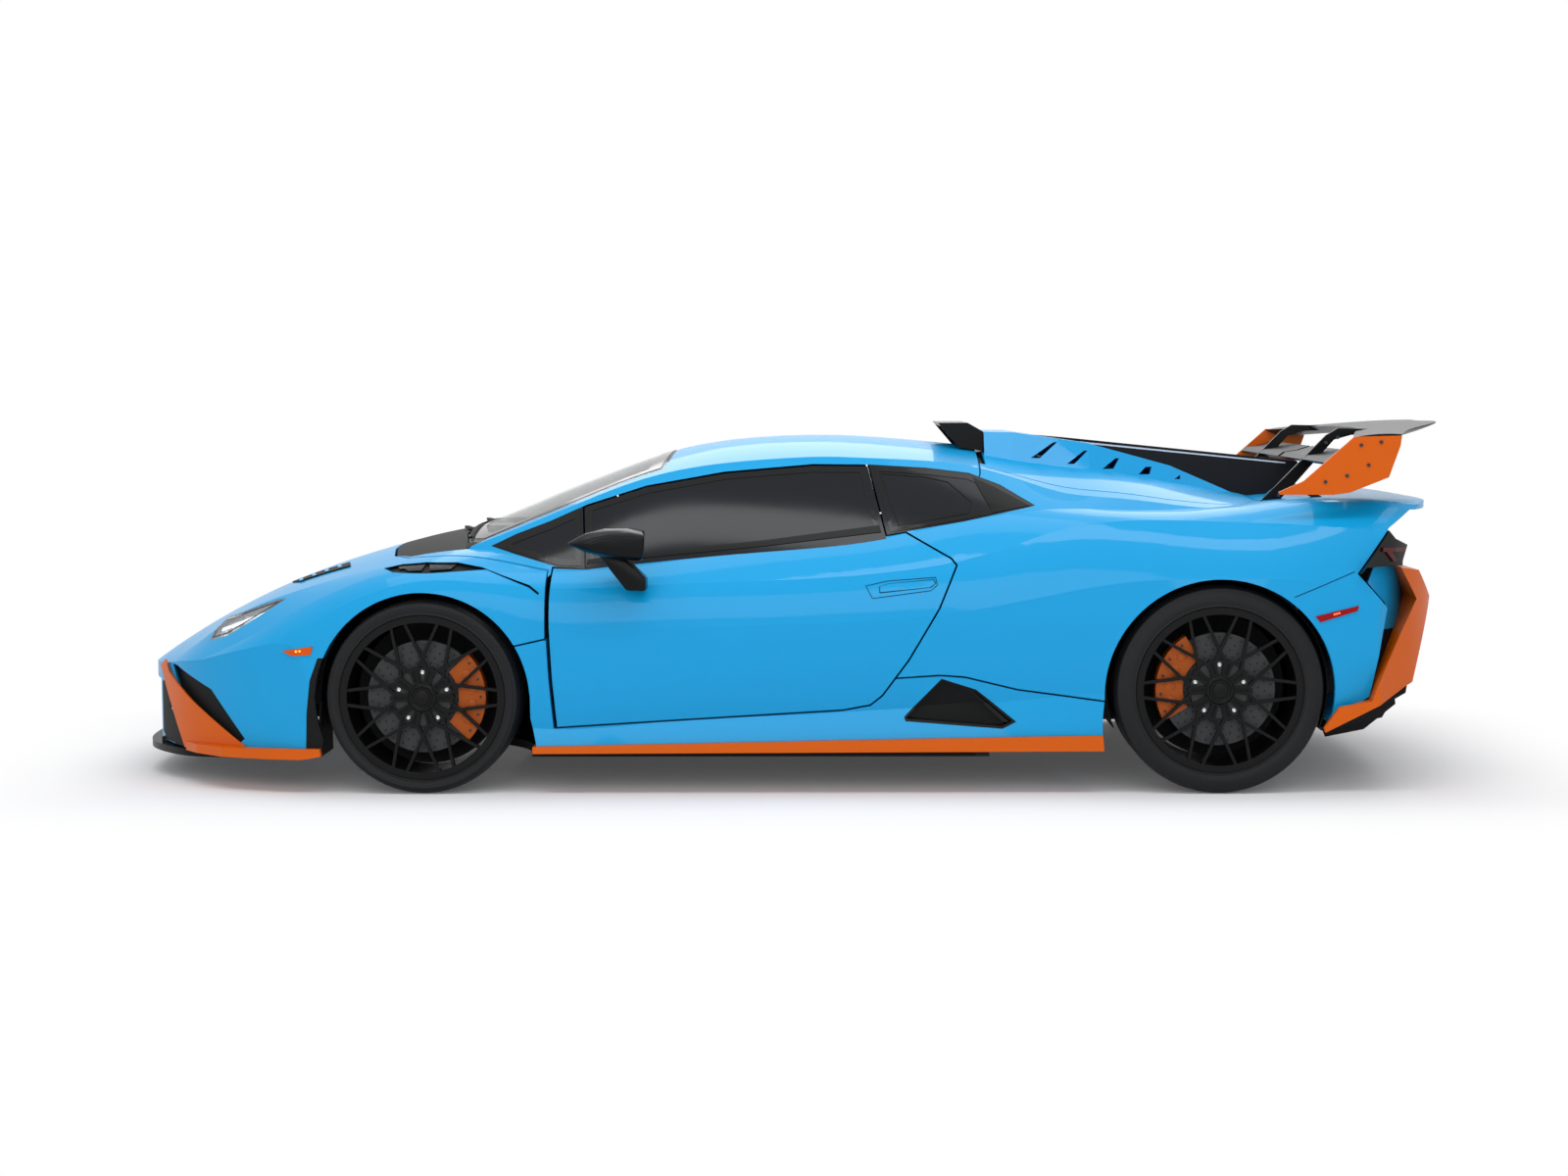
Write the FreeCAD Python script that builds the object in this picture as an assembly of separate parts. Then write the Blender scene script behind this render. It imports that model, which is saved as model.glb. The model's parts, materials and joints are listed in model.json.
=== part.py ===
import FreeCAD
import Part
import math
import os

# A mid-engined two-seat supercar with a fixed rear wing, at full size.
# Millimetres. +X points to the tail, -Y to the car's left side, +Z up.
# The origin is on the ground under the middle of the length.

# Driving sizes of the whole car
length = 4547.0
half_width = 972.5
roof_height = 1165.0
wheelbase = 2620.0
front_overhang = 1085.5
overrun = 400.0
panel_gap = 6.0

# Wheels and tyres
front_tyre_radius = 320.0
front_tyre_width = 245.0
rear_tyre_radius = 342.0
rear_tyre_width = 305.0
rim_radius = 272.0
rim_lip = 9.0
rim_wall = 5.0
front_half_track = 826.0
rear_half_track = 806.0
tyre_seat_gap = 0.3
running_gap = 0.05
hub_radius = 50.0
bead_radius = 254.0
tyre_seat_inset = 16.0
tyre_bead_taper = 10.5
sidewall_rise = 28.0
shoulder_drop = 8.0
shoulder_round = 9.0
crown_inset = 34.0
spoke_inset = 4.0
fork_radius = 106.0
fork_spread = 30.5
arm_half_width = 5.0
spindle_radius = 24.0
disc_clear = 22.0
pin_reach = 96.0
eye_height = 28.0
spoke_count = 10
spoke_width = 30.0
spoke_root_width = 22.0
spoke_groove_width = 9.0
spoke_groove_depth = 6.0
spoke_depth = 20.0
disc_radius = 186.0
disc_thickness = 28.0
disc_bell_radius = 95.0
caliper_gap = 5.0
caliper_radial = 68.0
caliper_cheek = 12.0
caliper_bridge = 16.0
caliper_half_angle = 44.0
full_turn = 360.0
quarter_turn = 90.0
rear_caliper_angle = 166.0
least_volume = 1.0
front_arch_radius = 355.0
front_arch_z = 312.0
rear_arch_radius = 376.0
rear_arch_z = 331.0

# Walls
skin = 20.0
glass = 6.0
door_depth = 90.0
door_flange = 22.0
door_step = 42.0
door_inner_y = 735.0
glass_inset = 0.3
glass_drop = 36.0
screen_gap = 8.0
sill_depth = 120.0

# Frame places worked out from the driving sizes
front_axle_x = front_overhang - length / 2
rear_axle_x = front_axle_x + wheelbase

# Lower body sections, nose to tail. Each has its place along the length as a
# share of the length, then seven points from the centre line outwards and down:
# hood centre, hood crease, crest, shoulder, widest, lower side and sill edge,
# each a share of the half width and of the roof height.
lower_section_shares = (
    (-0.506, ((0.000, 0.296), (0.411, 0.258), (0.576, 0.232), (0.638, 0.215),
             (0.658, 0.189), (0.658, 0.155), (0.648, 0.107))),
    (-0.473, ((0.000, 0.391), (0.494, 0.339), (0.627, 0.300), (0.699, 0.266),
             (0.720, 0.232), (0.725, 0.180), (0.710, 0.103))),
    (-0.440, ((0.000, 0.466), (0.607, 0.412), (0.720, 0.356), (0.797, 0.313),
             (0.817, 0.266), (0.823, 0.197), (0.812, 0.101))),
    (-0.407, ((0.000, 0.530), (0.658, 0.494), (0.797, 0.412), (0.869, 0.365),
             (0.889, 0.300), (0.895, 0.215), (0.884, 0.101))),
    (-0.363, ((0.000, 0.600), (0.710, 0.562), (0.853, 0.502), (0.920, 0.446),
             (0.944, 0.369), (0.948, 0.227), (0.941, 0.103))),
    (-0.319, ((0.000, 0.654), (0.735, 0.614), (0.869, 0.584), (0.941, 0.536),
             (0.965, 0.464), (0.967, 0.236), (0.961, 0.107))),
    (-0.261, ((0.000, 0.709), (0.746, 0.665), (0.869, 0.642), (0.946, 0.605),
             (0.972, 0.549), (0.972, 0.240), (0.972, 0.112))),
    (-0.211, ((0.000, 0.730), (0.740, 0.678), (0.864, 0.637), (0.941, 0.597),
             (0.969, 0.515), (0.961, 0.206), (0.972, 0.116))),
    (-0.172, ((0.000, 0.731), (0.720, 0.678), (0.843, 0.633), (0.931, 0.584),
             (0.967, 0.489), (0.946, 0.184), (0.972, 0.118))),
    (-0.088, ((0.000, 0.734), (0.710, 0.687), (0.828, 0.656), (0.931, 0.592),
             (0.970, 0.472), (0.934, 0.202), (0.972, 0.120))),
    (0.000, ((0.000, 0.738), (0.699, 0.712), (0.820, 0.689), (0.931, 0.605),
             (0.972, 0.481), (0.931, 0.220), (0.972, 0.122))),
    (0.088, ((0.000, 0.755), (0.689, 0.742), (0.807, 0.730), (0.931, 0.631),
             (0.975, 0.498), (0.934, 0.240), (0.972, 0.123))),
    (0.154, ((0.000, 0.773), (0.668, 0.773), (0.787, 0.777), (0.915, 0.682),
             (0.977, 0.532), (0.948, 0.258), (0.975, 0.124))),
    (0.198, ((0.000, 0.777), (0.638, 0.785), (0.766, 0.796), (0.895, 0.738),
             (0.982, 0.567), (0.961, 0.275), (0.977, 0.124))),
    (0.253, ((0.000, 0.777), (0.607, 0.783), (0.751, 0.791), (0.879, 0.768),
             (0.989, 0.601), (0.982, 0.292), (0.982, 0.129))),
    (0.315, ((0.000, 0.785), (0.576, 0.788), (0.740, 0.794), (0.874, 0.764),
             (0.997, 0.609), (0.995, 0.300), (0.987, 0.137))),
    (0.374, ((0.000, 0.811), (0.576, 0.814), (0.761, 0.811), (0.889, 0.755),
             (0.992, 0.601), (0.985, 0.300), (0.977, 0.163))),
    (0.429, ((0.000, 0.817), (0.576, 0.820), (0.781, 0.814), (0.905, 0.738),
             (0.956, 0.558), (0.951, 0.300), (0.925, 0.172))),
    (0.466, ((0.000, 0.812), (0.555, 0.814), (0.761, 0.805), (0.874, 0.726),
             (0.915, 0.532), (0.905, 0.300), (0.884, 0.180))),
    (0.504, ((0.000, 0.803), (0.514, 0.804), (0.720, 0.797), (0.823, 0.712),
             (0.864, 0.515), (0.853, 0.300), (0.833, 0.189))),
)

# Cabin sections: the roof centre, the roof rail and the buried foot.
cabin_section_shares = (
    (-0.264, ((0.000, 0.678), (0.638, 0.648), (0.710, 0.592))),
    (-0.238, ((0.000, 0.732), (0.674, 0.682), (0.751, 0.605))),
    (-0.202, ((0.000, 0.791), (0.689, 0.736), (0.807, 0.601))),
    (-0.167, ((0.000, 0.847), (0.670, 0.791), (0.859, 0.592))),
    (-0.132, ((0.000, 0.899), (0.650, 0.846), (0.869, 0.592))),
    (-0.088, ((0.000, 0.955), (0.625, 0.900), (0.869, 0.601))),
    (-0.033, ((0.000, 0.991), (0.603, 0.932), (0.866, 0.622))),
    (0.033, ((0.000, 1.000), (0.594, 0.945), (0.862, 0.652))),
    (0.099, ((0.000, 0.984), (0.589, 0.934), (0.851, 0.687))),
    (0.143, ((0.000, 0.966), (0.588, 0.913), (0.835, 0.721))),
    (0.187, ((0.000, 0.944), (0.617, 0.863), (0.812, 0.747))),
    (0.231, ((0.000, 0.920), (0.632, 0.828), (0.761, 0.747))),
    (0.286, ((0.000, 0.876), (0.617, 0.805), (0.710, 0.738))),
    (0.341, ((0.000, 0.828), (0.576, 0.790), (0.658, 0.730))),
    (0.385, ((0.000, 0.785), (0.535, 0.773), (0.617, 0.721))),
)

# How far each edge between two section points bulges, as a share of its chord
lower_bulge_shares = (0.03, 0.05, 0.06, 0.03, -0.01)
cabin_bulge_shares = (0.03, 0.045)

# Which way the inside of each section point lies, across and up
lower_inward_shares = ((0.0, 1.0), (0.2, 0.95), (0.7, 0.7), (0.9, 0.4), (1.0, 0.1), (1.0, 0.0), (1.0, 2.0))
cabin_inward_shares = ((0.0, 1.0), (0.75, 0.65), (0.85, 0.5))

# Plan outlines, as shares of the length and the half width
nose_plan_shares = (
    (-0.497, 0.000), (-0.495, 0.206), (-0.485, 0.391), (-0.468, 0.545), (-0.448, 0.674),
    (-0.418, 0.797), (-0.383, 0.893), (-0.352, 0.951), (-0.308, 1.111),
)
tail_plan_shares = (
    (0.487, 0.000), (0.486, 0.308), (0.478, 0.576), (0.465, 0.761), (0.448, 0.874), (0.429, 0.961),
    (0.407, 1.111),
)

# Side outline of everything behind the tail of the painted body
tail_cut_shares = (
    (0.512, 0.795), (0.457, 0.793), (0.438, 0.745), (0.413, 0.620), (0.436, 0.521), (0.423, 0.273),
    (0.403, 0.225), (0.392, 0.185), (0.392, 0.052), (0.512, 0.052),
)

# Side outlines of the door, the glass and the arches
door_outline_shares = (
    (-0.169, 0.639), (-0.170, 0.549), (-0.170, 0.476), (-0.168, 0.326), (-0.165, 0.184),
    (0.044, 0.232), (0.064, 0.247), (0.073, 0.276), (0.092, 0.378), (0.114, 0.524), (0.127, 0.645),
    (0.123, 0.665), (0.090, 0.736), (0.076, 0.727), (-0.013, 0.687), (-0.100, 0.655),
    (-0.145, 0.635), (-0.165, 0.637),
)
glass_outline_shares = (
    (-0.217, 0.692), (-0.198, 0.727), (-0.174, 0.762), (-0.146, 0.810), (-0.102, 0.864),
    (-0.044, 0.903), (0.022, 0.924), (0.064, 0.922), (0.106, 0.912), (0.138, 0.897), (0.161, 0.863),
    (0.186, 0.805), (0.132, 0.762), (0.076, 0.726), (-0.013, 0.686), (-0.100, 0.654),
    (-0.145, 0.634), (-0.164, 0.636), (-0.198, 0.671),
)
glass_split_front_shares = (
    (-0.142, 0.515), (-0.157, 1.116),
)
glass_split_rear_shares = (
    (0.090, 0.515), (0.051, 1.116),
)

# Tables turned into places


def along(share):
    return share * length


def across(share):
    return share * half_width


def up(share):
    return share * roof_height


def side_points(shares):
    return [(along(x), up(z)) for x, z in shares]


def plan_points(shares):
    return [(along(x), across(y)) for x, y in shares]


# Small builders


def vec(x, y, z):
    return FreeCAD.Vector(x, y, z)


def box(x0, x1, y0, y1, z0, z1):
    return Part.makeBox(x1 - x0, y1 - y0, z1 - z0, vec(x0, y0, z0))


def prism_across(points, y0, y1):
    ring = [vec(x, y0, z) for x, z in points]
    face = Part.Face(Part.makePolygon(ring + ring[:1]))
    return face.extrude(vec(0, y1 - y0, 0))


def prism_up(points, z0, z1):
    ring = [vec(x, y, z0) for x, y in points]
    face = Part.Face(Part.makePolygon(ring + ring[:1]))
    return face.extrude(vec(0, 0, z1 - z0))


def mirrored(shape):
    return shape.mirror(vec(0, 0, 0), vec(0, 1, 0))


def both(shape):
    return Part.Compound([shape, mirrored(shape)])


def cylinder_across(x, z, radius, y0, y1):
    return Part.makeCylinder(radius, y1 - y0, vec(x, y0, z), vec(0, 1, 0))


def largest(shape):
    return max(shape.Solids, key=lambda solid: solid.Volume)


# Body surfaces


def bowed_edge(x, start, end, bulge):
    dy = end[0] - start[0]
    dz = end[1] - start[1]
    middle = ((start[0] + end[0]) / 2 + bulge * dz, (start[1] + end[1]) / 2 - bulge * dy)
    curve = Part.BSplineCurve()
    curve.interpolate([vec(x, *start), vec(x, *middle), vec(x, *end)])
    return curve.toShape()


def section_wire(x, points, bulges):
    left = [(-y, z) for y, z in points[1:]]
    right = points[1:]
    crown = Part.BSplineCurve()
    crown.interpolate([vec(x, *right[0]), vec(x, *points[0]), vec(x, *left[0])])
    edges = [crown.toShape()]
    for start, end, bulge in zip(left, left[1:], bulges):
        edges.append(bowed_edge(x, start, end, bulge))
    edges.append(Part.makeLine(vec(x, *left[-1]), vec(x, *right[-1])))
    for start, end, bulge in reversed(list(zip(right, right[1:], bulges))):
        edges.append(bowed_edge(x, end, start, bulge))
    return Part.Wire(edges)


def lofted_body(sections, bulges, inward, inset):
    wires = []
    for x_share, row in sections:
        points = []
        for (y, z), (inward_y, inward_z) in zip(row, inward):
            points.append((across(y) - inset * inward_y, up(z) - inset * inward_z))
        wires.append(section_wire(along(x_share), points, bulges))
    return Part.makeLoft(wires, True, False)


def lower_body(inset):
    return lofted_body(lower_section_shares, lower_bulge_shares, lower_inward_shares, inset)


def cabin_body(inset):
    return lofted_body(cabin_section_shares, cabin_bulge_shares, cabin_inward_shares, inset)


def plan_trim(inset):
    nose = [(x + inset, y) for x, y in plan_points(nose_plan_shares)]
    tail = [(x - inset, y) for x, y in plan_points(tail_plan_shares)]
    nose_curve = Part.BSplineCurve()
    nose_curve.interpolate([vec(x, -y, 0) for x, y in reversed(nose)] + [vec(x, y, 0) for x, y in nose[1:]])
    tail_curve = Part.BSplineCurve()
    tail_curve.interpolate([vec(x, y, 0) for x, y in reversed(tail)] + [vec(x, -y, 0) for x, y in tail[1:]])
    right = Part.makeLine(nose_curve.EndPoint, tail_curve.StartPoint)
    left = Part.makeLine(tail_curve.EndPoint, nose_curve.StartPoint)
    face = Part.Face(Part.Wire([nose_curve.toShape(), right, tail_curve.toShape(), left]))
    return face.extrude(vec(0, 0, 2 * roof_height))


def body(inset):
    whole = lower_body(inset).fuse(cabin_body(inset)).common(plan_trim(inset))
    cut_points = [(x - inset, z) for x, z in side_points(tail_cut_shares)]
    return whole.cut(prism_across(cut_points, -half_width - overrun, half_width + overrun))


def arch_tool(x, z, radius, foot_shares):
    round_part = cylinder_across(x, z, radius, -half_width - overrun, half_width + overrun)
    foot = prism_across(side_points(foot_shares), -half_width - overrun, half_width + overrun)
    return round_part.fuse(foot)


# Side outlines below the wheel arches, and the seams between panels
front_arch_foot_shares = (
    (-0.340, 0.283), (-0.337, 0.215), (-0.334, 0.163), (-0.336, 0.094), (-0.336, 0.052),
    (-0.174, 0.052), (-0.183, 0.215), (-0.183, 0.283),
)
rear_arch_foot_shares = (
    (0.233, 0.296), (0.231, 0.215), (0.231, 0.052), (0.396, 0.052), (0.395, 0.215), (0.397, 0.296),
)
clam_side_shares = (
    (-0.572, 0.052), (-0.572, 0.944), (-0.172, 0.944), (-0.172, 0.443), (-0.196, 0.422),
    (-0.261, 0.343), (-0.261, 0.052),
)
clam_plan_shares = (
    (-0.306, 0.000), (-0.303, 0.308), (-0.294, 0.576), (-0.279, 0.710), (-0.260, 0.763),
    (-0.211, 0.817), (-0.154, 0.874), (-0.154, 1.234), (-0.572, 1.234),
)
sill_blade_side_shares = (
    (-0.181, 0.117), (-0.181, 0.136), (0.231, 0.167), (0.232, 0.123),
)
sill_under_side_shares = (
    (-0.220, 0.034), (-0.220, 0.117), (-0.181, 0.117), (0.232, 0.123), (0.264, 0.123),
    (0.264, 0.034),
)
sill_side_shares = (
    (-0.220, 0.052), (-0.220, 0.410), (-0.196, 0.417), (-0.173, 0.437), (-0.154, 0.437),
    (-0.154, 0.258), (0.044, 0.258), (0.075, 0.323), (0.114, 0.333), (0.132, 0.328), (0.170, 0.292),
    (0.264, 0.244), (0.264, 0.052),
)
quarter_side_shares = (
    (0.066, 0.378), (0.066, 0.778), (0.136, 0.807), (0.147, 0.893), (0.152, 1.202), (0.572, 1.202),
    (0.572, 0.052), (0.286, 0.052), (0.286, 0.242), (0.264, 0.249), (0.170, 0.297), (0.132, 0.333),
    (0.114, 0.338), (0.077, 0.328),
)
quarter_plan_shares = (
    (0.066, 0.514), (0.152, 0.514), (0.152, 0.567), (0.220, 0.582), (0.286, 0.567), (0.361, 0.500),
    (0.361, 0.617), (0.572, 0.617), (0.572, 1.234), (0.066, 1.234),
)
cover_front_x = 690.0
cover_plan_shares = (
    (0.152, 0.000), (0.152, 0.560), (0.220, 0.576), (0.286, 0.560), (0.359, 0.494), (0.359, 0.000),
)
deck_plan_shares = (
    (0.361, 0.000), (0.361, 0.611), (0.572, 0.611), (0.572, 0.000),
)
roof_plan_shares = (
    (-0.304, 0.000), (-0.301, 0.308), (-0.292, 0.576), (-0.278, 0.701), (-0.258, 0.753),
    (-0.211, 0.808), (-0.171, 0.847), (-0.171, 1.234), (0.150, 1.234), (0.150, 0.000),
)
roof_side_shares = (
    (-0.330, 0.515), (-0.330, 1.202), (0.150, 1.202), (0.146, 0.893), (0.132, 0.781), (0.076, 0.735),
    (-0.013, 0.695), (-0.100, 0.664), (-0.145, 0.644), (-0.163, 0.645), (-0.171, 0.611),
    (-0.211, 0.549),
)
cowl_plan_shares = (
    (-0.304, 0.000), (-0.301, 0.308), (-0.292, 0.576), (-0.278, 0.683), (-0.242, 0.691),
    (-0.227, 0.668), (-0.238, 0.576), (-0.247, 0.308), (-0.249, 0.000),
)
windscreen_plan_shares = (
    (-0.249, 0.000), (-0.246, 0.308), (-0.237, 0.576), (-0.227, 0.663), (-0.176, 0.640),
    (-0.132, 0.602), (-0.092, 0.555), (-0.088, 0.411), (-0.085, 0.000),
)

# Heights and places of the tub
floor_bottom = 112.0
floor_thickness = 28.0
tub_front_x = -960.0
tub_rear_x = 640.0
bulkhead_thickness = 45.0
front_bulkhead_half_width = 560.0
front_bulkhead_top = 745.0
tunnel_half_width = 130.0
tunnel_top = 330.0

# Engine, subframes and axles
cross_width = 90.0
engine_clear = 90.0
shaft_radius = 22.0
engine_length = 640.0
engine_half_width = 344.7
engine_bottom = 170.0
engine_height = 560.0
engine_gap = 60.0
rail_width = 70.0
rail_height = 90.0
front_rail_y = 330.0
rear_rail_y = 380.0
front_rail_front_x = -2135.0
rear_rail_rear_x = 1790.0
arm_width = 46.0
arm_height = 26.0
pin_radius = 13.0
eye_wall = 12.0
upright_depth = 34.0

# Seats, dash and steering wheel
seat_side_shares = (
    (-0.042, 0.121), (-0.042, 0.283), (0.053, 0.240), (0.073, 0.283), (0.103, 0.730), (0.123, 0.721),
    (0.097, 0.155), (0.088, 0.121),
)
dash_drop = 40.0
seat_gap = 0.3
column_length = 190.0
wheel_hub_radius = 45.0
wheel_hub_depth = 30.0
seat_y = 370.0
seat_width = 480.0
dash_depth = 340.0
dash_bottom = 520.0
dash_top = 742.0
dash_half_width = 700.0
column_x = -480.0
column_z = 655.0
column_tilt = 22.0
column_radius = 24.0
wheel_rim_radius = 172.0
wheel_rim_thickness = 15.0
wheel_rim_corners = 6
wheel_bar_angles = (0.0, 180.0, 270.0)
wheel_gap = 0.3

# Splitter, blades and lamps
blade_gap = 1.5
edge_drop = 5.0
sill_blade_outer_y = 962.0
sill_blade_inner_y = 890.0
blade_thickness = 14.0
blade_inner_y = 380.0
lip_depth = 60.0
lip_side_shares = (
    (-0.457, 0.095), (-0.457, 0.120), (-0.336, 0.130), (-0.335, 0.109), (-0.350, 0.098),
)
nose_mouth_half_width = 420.0
nose_mouth_top = 330.0
splitter_bottom = 86.0
splitter_thickness = 24.0
splitter_plan_shares = (
    (-0.500, 0.000), (-0.499, 0.185), (-0.488, 0.432), (-0.468, 0.576), (-0.449, 0.658),
    (-0.418, 0.699), (-0.383, 0.710), (-0.350, 0.710),
)
splitter_post_top = 130.0
splitter_post_shares = (
    (-0.479, 0.444), (-0.473, 0.444), (-0.473, 0.481), (-0.479, 0.481),
)
blade_side_shares = (
    (-0.479, 0.329), (-0.472, 0.349), (-0.467, 0.314), (-0.442, 0.242), (-0.400, 0.137),
    (-0.396, 0.129), (-0.396, 0.117), (-0.440, 0.110), (-0.451, 0.101),
)
lip_plan_shares = (
    (-0.453, 0.617), (-0.449, 0.691), (-0.437, 0.769), (-0.413, 0.872), (-0.378, 0.941),
    (-0.343, 0.979), (-0.334, 0.983),
)
lamp_side_shares = (
    (-0.431, 0.415), (-0.427, 0.468), (-0.377, 0.538), (-0.369, 0.543), (-0.393, 0.483),
    (-0.415, 0.433),
)
lamp_depth = 14.0
lamp_seam = 0.3
front_opening_side_shares = (
    (-0.464, 0.340), (-0.459, 0.338), (-0.425, 0.282), (-0.396, 0.147), (-0.400, 0.135),
    (-0.442, 0.129),
)
grille_inset = 34.0
grille_side_shares = (
    (-0.471, 0.350), (-0.454, 0.350), (-0.420, 0.292), (-0.390, 0.163), (-0.390, 0.135),
    (-0.453, 0.135),
)
grille_thickness = 14.0
louvre_side_shares = (
    (-0.294, 0.633), (-0.280, 0.645), (-0.261, 0.652), (-0.238, 0.652), (-0.219, 0.639),
    (-0.183, 0.591), (-0.176, 0.570), (-0.177, 0.565), (-0.184, 0.585), (-0.216, 0.633),
    (-0.259, 0.624), (-0.286, 0.624),
)
louvre_inner_y = 690.0
louvre_depth = 9.0
arch_strip_side_shares = (
    (-0.347, 0.052), (-0.347, 0.130), (-0.346, 0.227), (-0.343, 0.324), (-0.337, 0.388),
    (-0.321, 0.388), (-0.321, 0.052),
)
intake_side_shares = (
    (0.115, 0.326), (0.088, 0.216), (0.089, 0.204), (0.159, 0.184), (0.169, 0.204), (0.140, 0.295),
)
intake_fin_side_shares = (
    (0.133, 0.297), (0.136, 0.297), (0.164, 0.203), (0.159, 0.203),
)
intake_depth = 60.0
intake_wall = 8.0
intake_rim = 3.0

# Rear wing, fin and snorkel
wing_half_span = 866.0
wing_section_shares = (
    (0.0, 0.440, 0.500, 1.020, 1.038),
    (0.31, 0.438, 0.499, 1.018, 1.037),
    (0.50, 0.430, 0.480, 1.012, 1.028),
    (0.70, 0.420, 0.459, 1.005, 1.017),
    (0.89, 0.412, 0.446, 1.000, 1.009),
)
wing_thickness = 26.0
wing_edge = 5.0
wing_crest_share = 0.333
lower_wing_side_shares = (
    (0.391, 0.930), (0.396, 0.921), (0.407, 0.932), (0.417, 0.955), (0.416, 0.961), (0.405, 0.948),
    (0.395, 0.942),
)
lower_wing_inner_y = 24.0
plate_thickness = 14.0
endplate_side_shares = (
    (0.412, 1.002), (0.446, 1.005), (0.445, 0.976), (0.437, 0.888), (0.409, 0.845), (0.397, 0.839),
    (0.359, 0.840), (0.358, 0.847), (0.376, 0.878),
)
pylon_side_shares = (
    (0.352, 0.773), (0.367, 0.773), (0.380, 0.834), (0.384, 0.846), (0.423, 0.773), (0.432, 0.773),
    (0.386, 0.858), (0.415, 0.987), (0.428, 1.001), (0.468, 1.006), (0.468, 1.016), (0.418, 1.021),
    (0.409, 1.000),
)
pylon_y = 450.0
pylon_thickness = 16.0
fin_side_shares = (
    (0.169, 0.987), (0.172, 1.007), (0.218, 0.991), (0.405, 0.915), (0.407, 0.901), (0.380, 0.811),
    (0.361, 0.798), (0.264, 0.858), (0.198, 0.927),
)
fin_thickness = 12.0
deck_bottom = 640.0
snorkel_half_width = 270.0
snorkel_side_shares = (
    (0.118, 1.039), (0.141, 1.039), (0.153, 1.012), (0.167, 0.968), (0.167, 0.910), (0.132, 0.910),
    (0.135, 0.960),
)
duct_section_shares = (
    (0.153, 0.300, 1.012),
    (0.176, 0.290, 1.010),
    (0.235, 0.240, 0.975),
    (0.300, 0.160, 0.905),
    (0.354, 0.080, 0.815),
)
duct_foot_share = 0.62
duct_lean = 260.0
duct_wall = 14.0
cover_slot_shares = (
    (
    (0.189, 0.933), (0.196, 0.932), (0.210, 0.979), (0.207, 0.979),
),
    (
    (0.217, 0.914), (0.223, 0.914), (0.234, 0.953), (0.231, 0.953),
),
    (
    (0.245, 0.898), (0.254, 0.898), (0.259, 0.929), (0.256, 0.929),
),
    (
    (0.274, 0.880), (0.283, 0.880), (0.285, 0.902), (0.280, 0.902),
),
    (
    (0.303, 0.864), (0.308, 0.864), (0.308, 0.876),
),
)
cover_slot_inner_y = 60.0
scoop_wall = 12.0

# Door and nose hinges
door_hinge_x = -662.0
door_hinge_y = 903.0
door_pin_radius = 5.0
door_pin_reach = 18.0
hinge_levels = (320.0, 440.0)
hinge_height = 40.0
hinge_arm_half_width = 9.0
hinge_pocket_gap = 5.5
door_swing_gap = 6.5
pillar_inner_y = 750.0
pillar_outer_y = 815.0
pillar_half_length = 30.0
nose_hinge_x = -2120.0
nose_hinge_z = 250.0
nose_pin_radius = 10.0
nose_lug_radius = 26.0
nose_lug_y = 425.0
nose_lug_width = 40.0
splitter_mouth_x = -2050.0
steer_clear = 352.0

# Liners of the wheel wells
liner_wall = 4.0
liner_bottom = 210.0
liner_notch_half_width = 125.0
liner_notch_top = 462.0
front_liner_inner_y = 552.0
front_liner_outer_y = 846.0
front_liner_rear_x = -960.3
rear_liner_radius = 362.0
rear_liner_inner_y = 645.0
rear_liner_outer_y = 870.0
liner_bracket_y = 775.0
liner_bracket_width = 30.0

# Tail
fascia_inset = 70.0
fascia_thickness = 24.0
rear_blade_side_shares = (
    (0.446, 0.635), (0.463, 0.623), (0.476, 0.542), (0.474, 0.511), (0.458, 0.306), (0.451, 0.296),
    (0.424, 0.243), (0.390, 0.176), (0.389, 0.190), (0.400, 0.248), (0.423, 0.264), (0.428, 0.318),
    (0.448, 0.461), (0.461, 0.542),
)
rear_blade_depth = 34.0
rear_blade_inner_y = 480.0
diffuser_side_shares = (
    (0.395, 0.160), (0.439, 0.198), (0.446, 0.246), (0.456, 0.269), (0.457, 0.292), (0.451, 0.284),
    (0.425, 0.229), (0.395, 0.168),
)
diffuser_half_width = 780.0
exhaust_x = 1880.0
fascia_side_shares = (
    (0.394, 0.185), (0.428, 0.258), (0.506, 0.258), (0.506, 0.637), (0.418, 0.637), (0.418, 0.592),
    (0.438, 0.526), (0.426, 0.276), (0.396, 0.202),
)
bumper_side_shares = (
    (0.427, 0.637), (0.422, 0.592), (0.438, 0.530), (0.434, 0.455), (0.448, 0.455), (0.461, 0.541),
    (0.446, 0.637),
)
bumper_inner_y = 560.0
lamp_house_side_shares = (
    (0.414, 0.621), (0.418, 0.638), (0.450, 0.638), (0.456, 0.693), (0.444, 0.714), (0.438, 0.738),
)
lamp_house_inner_y = 380.0
tail_band_inset = 130.0
blade_reach_y = 952.0
exhaust_radius = 52.0
exhaust_y = 170.0
exhaust_z = 560.0
exhaust_length = 300.0
exhaust_wall = 4.0

# Mirrors
mirror_side_shares = (
    (-0.153, 0.716), (-0.141, 0.743), (-0.131, 0.753), (-0.114, 0.757), (-0.099, 0.752),
    (-0.100, 0.663), (-0.132, 0.687),
)
mirror_inner_y = 962.0
mirror_outer_y = 1085.0
mirror_arm_side_shares = (
    (-0.132, 0.687), (-0.114, 0.678), (-0.097, 0.613), (-0.097, 0.579), (-0.112, 0.580),
)
mirror_arm_width = 46.0
mirror_arm_root_y = 880.0


def reflect_points(points):
    return points + [(x, -y) for x, y in reversed(points) if y > 0]


def wide_prism(shares):
    return prism_across(side_points(shares), -half_width - overrun, half_width + overrun)


def plan_prism_both(shares):
    return prism_up(reflect_points(plan_points(shares)), -overrun, roof_height + overrun)


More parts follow.
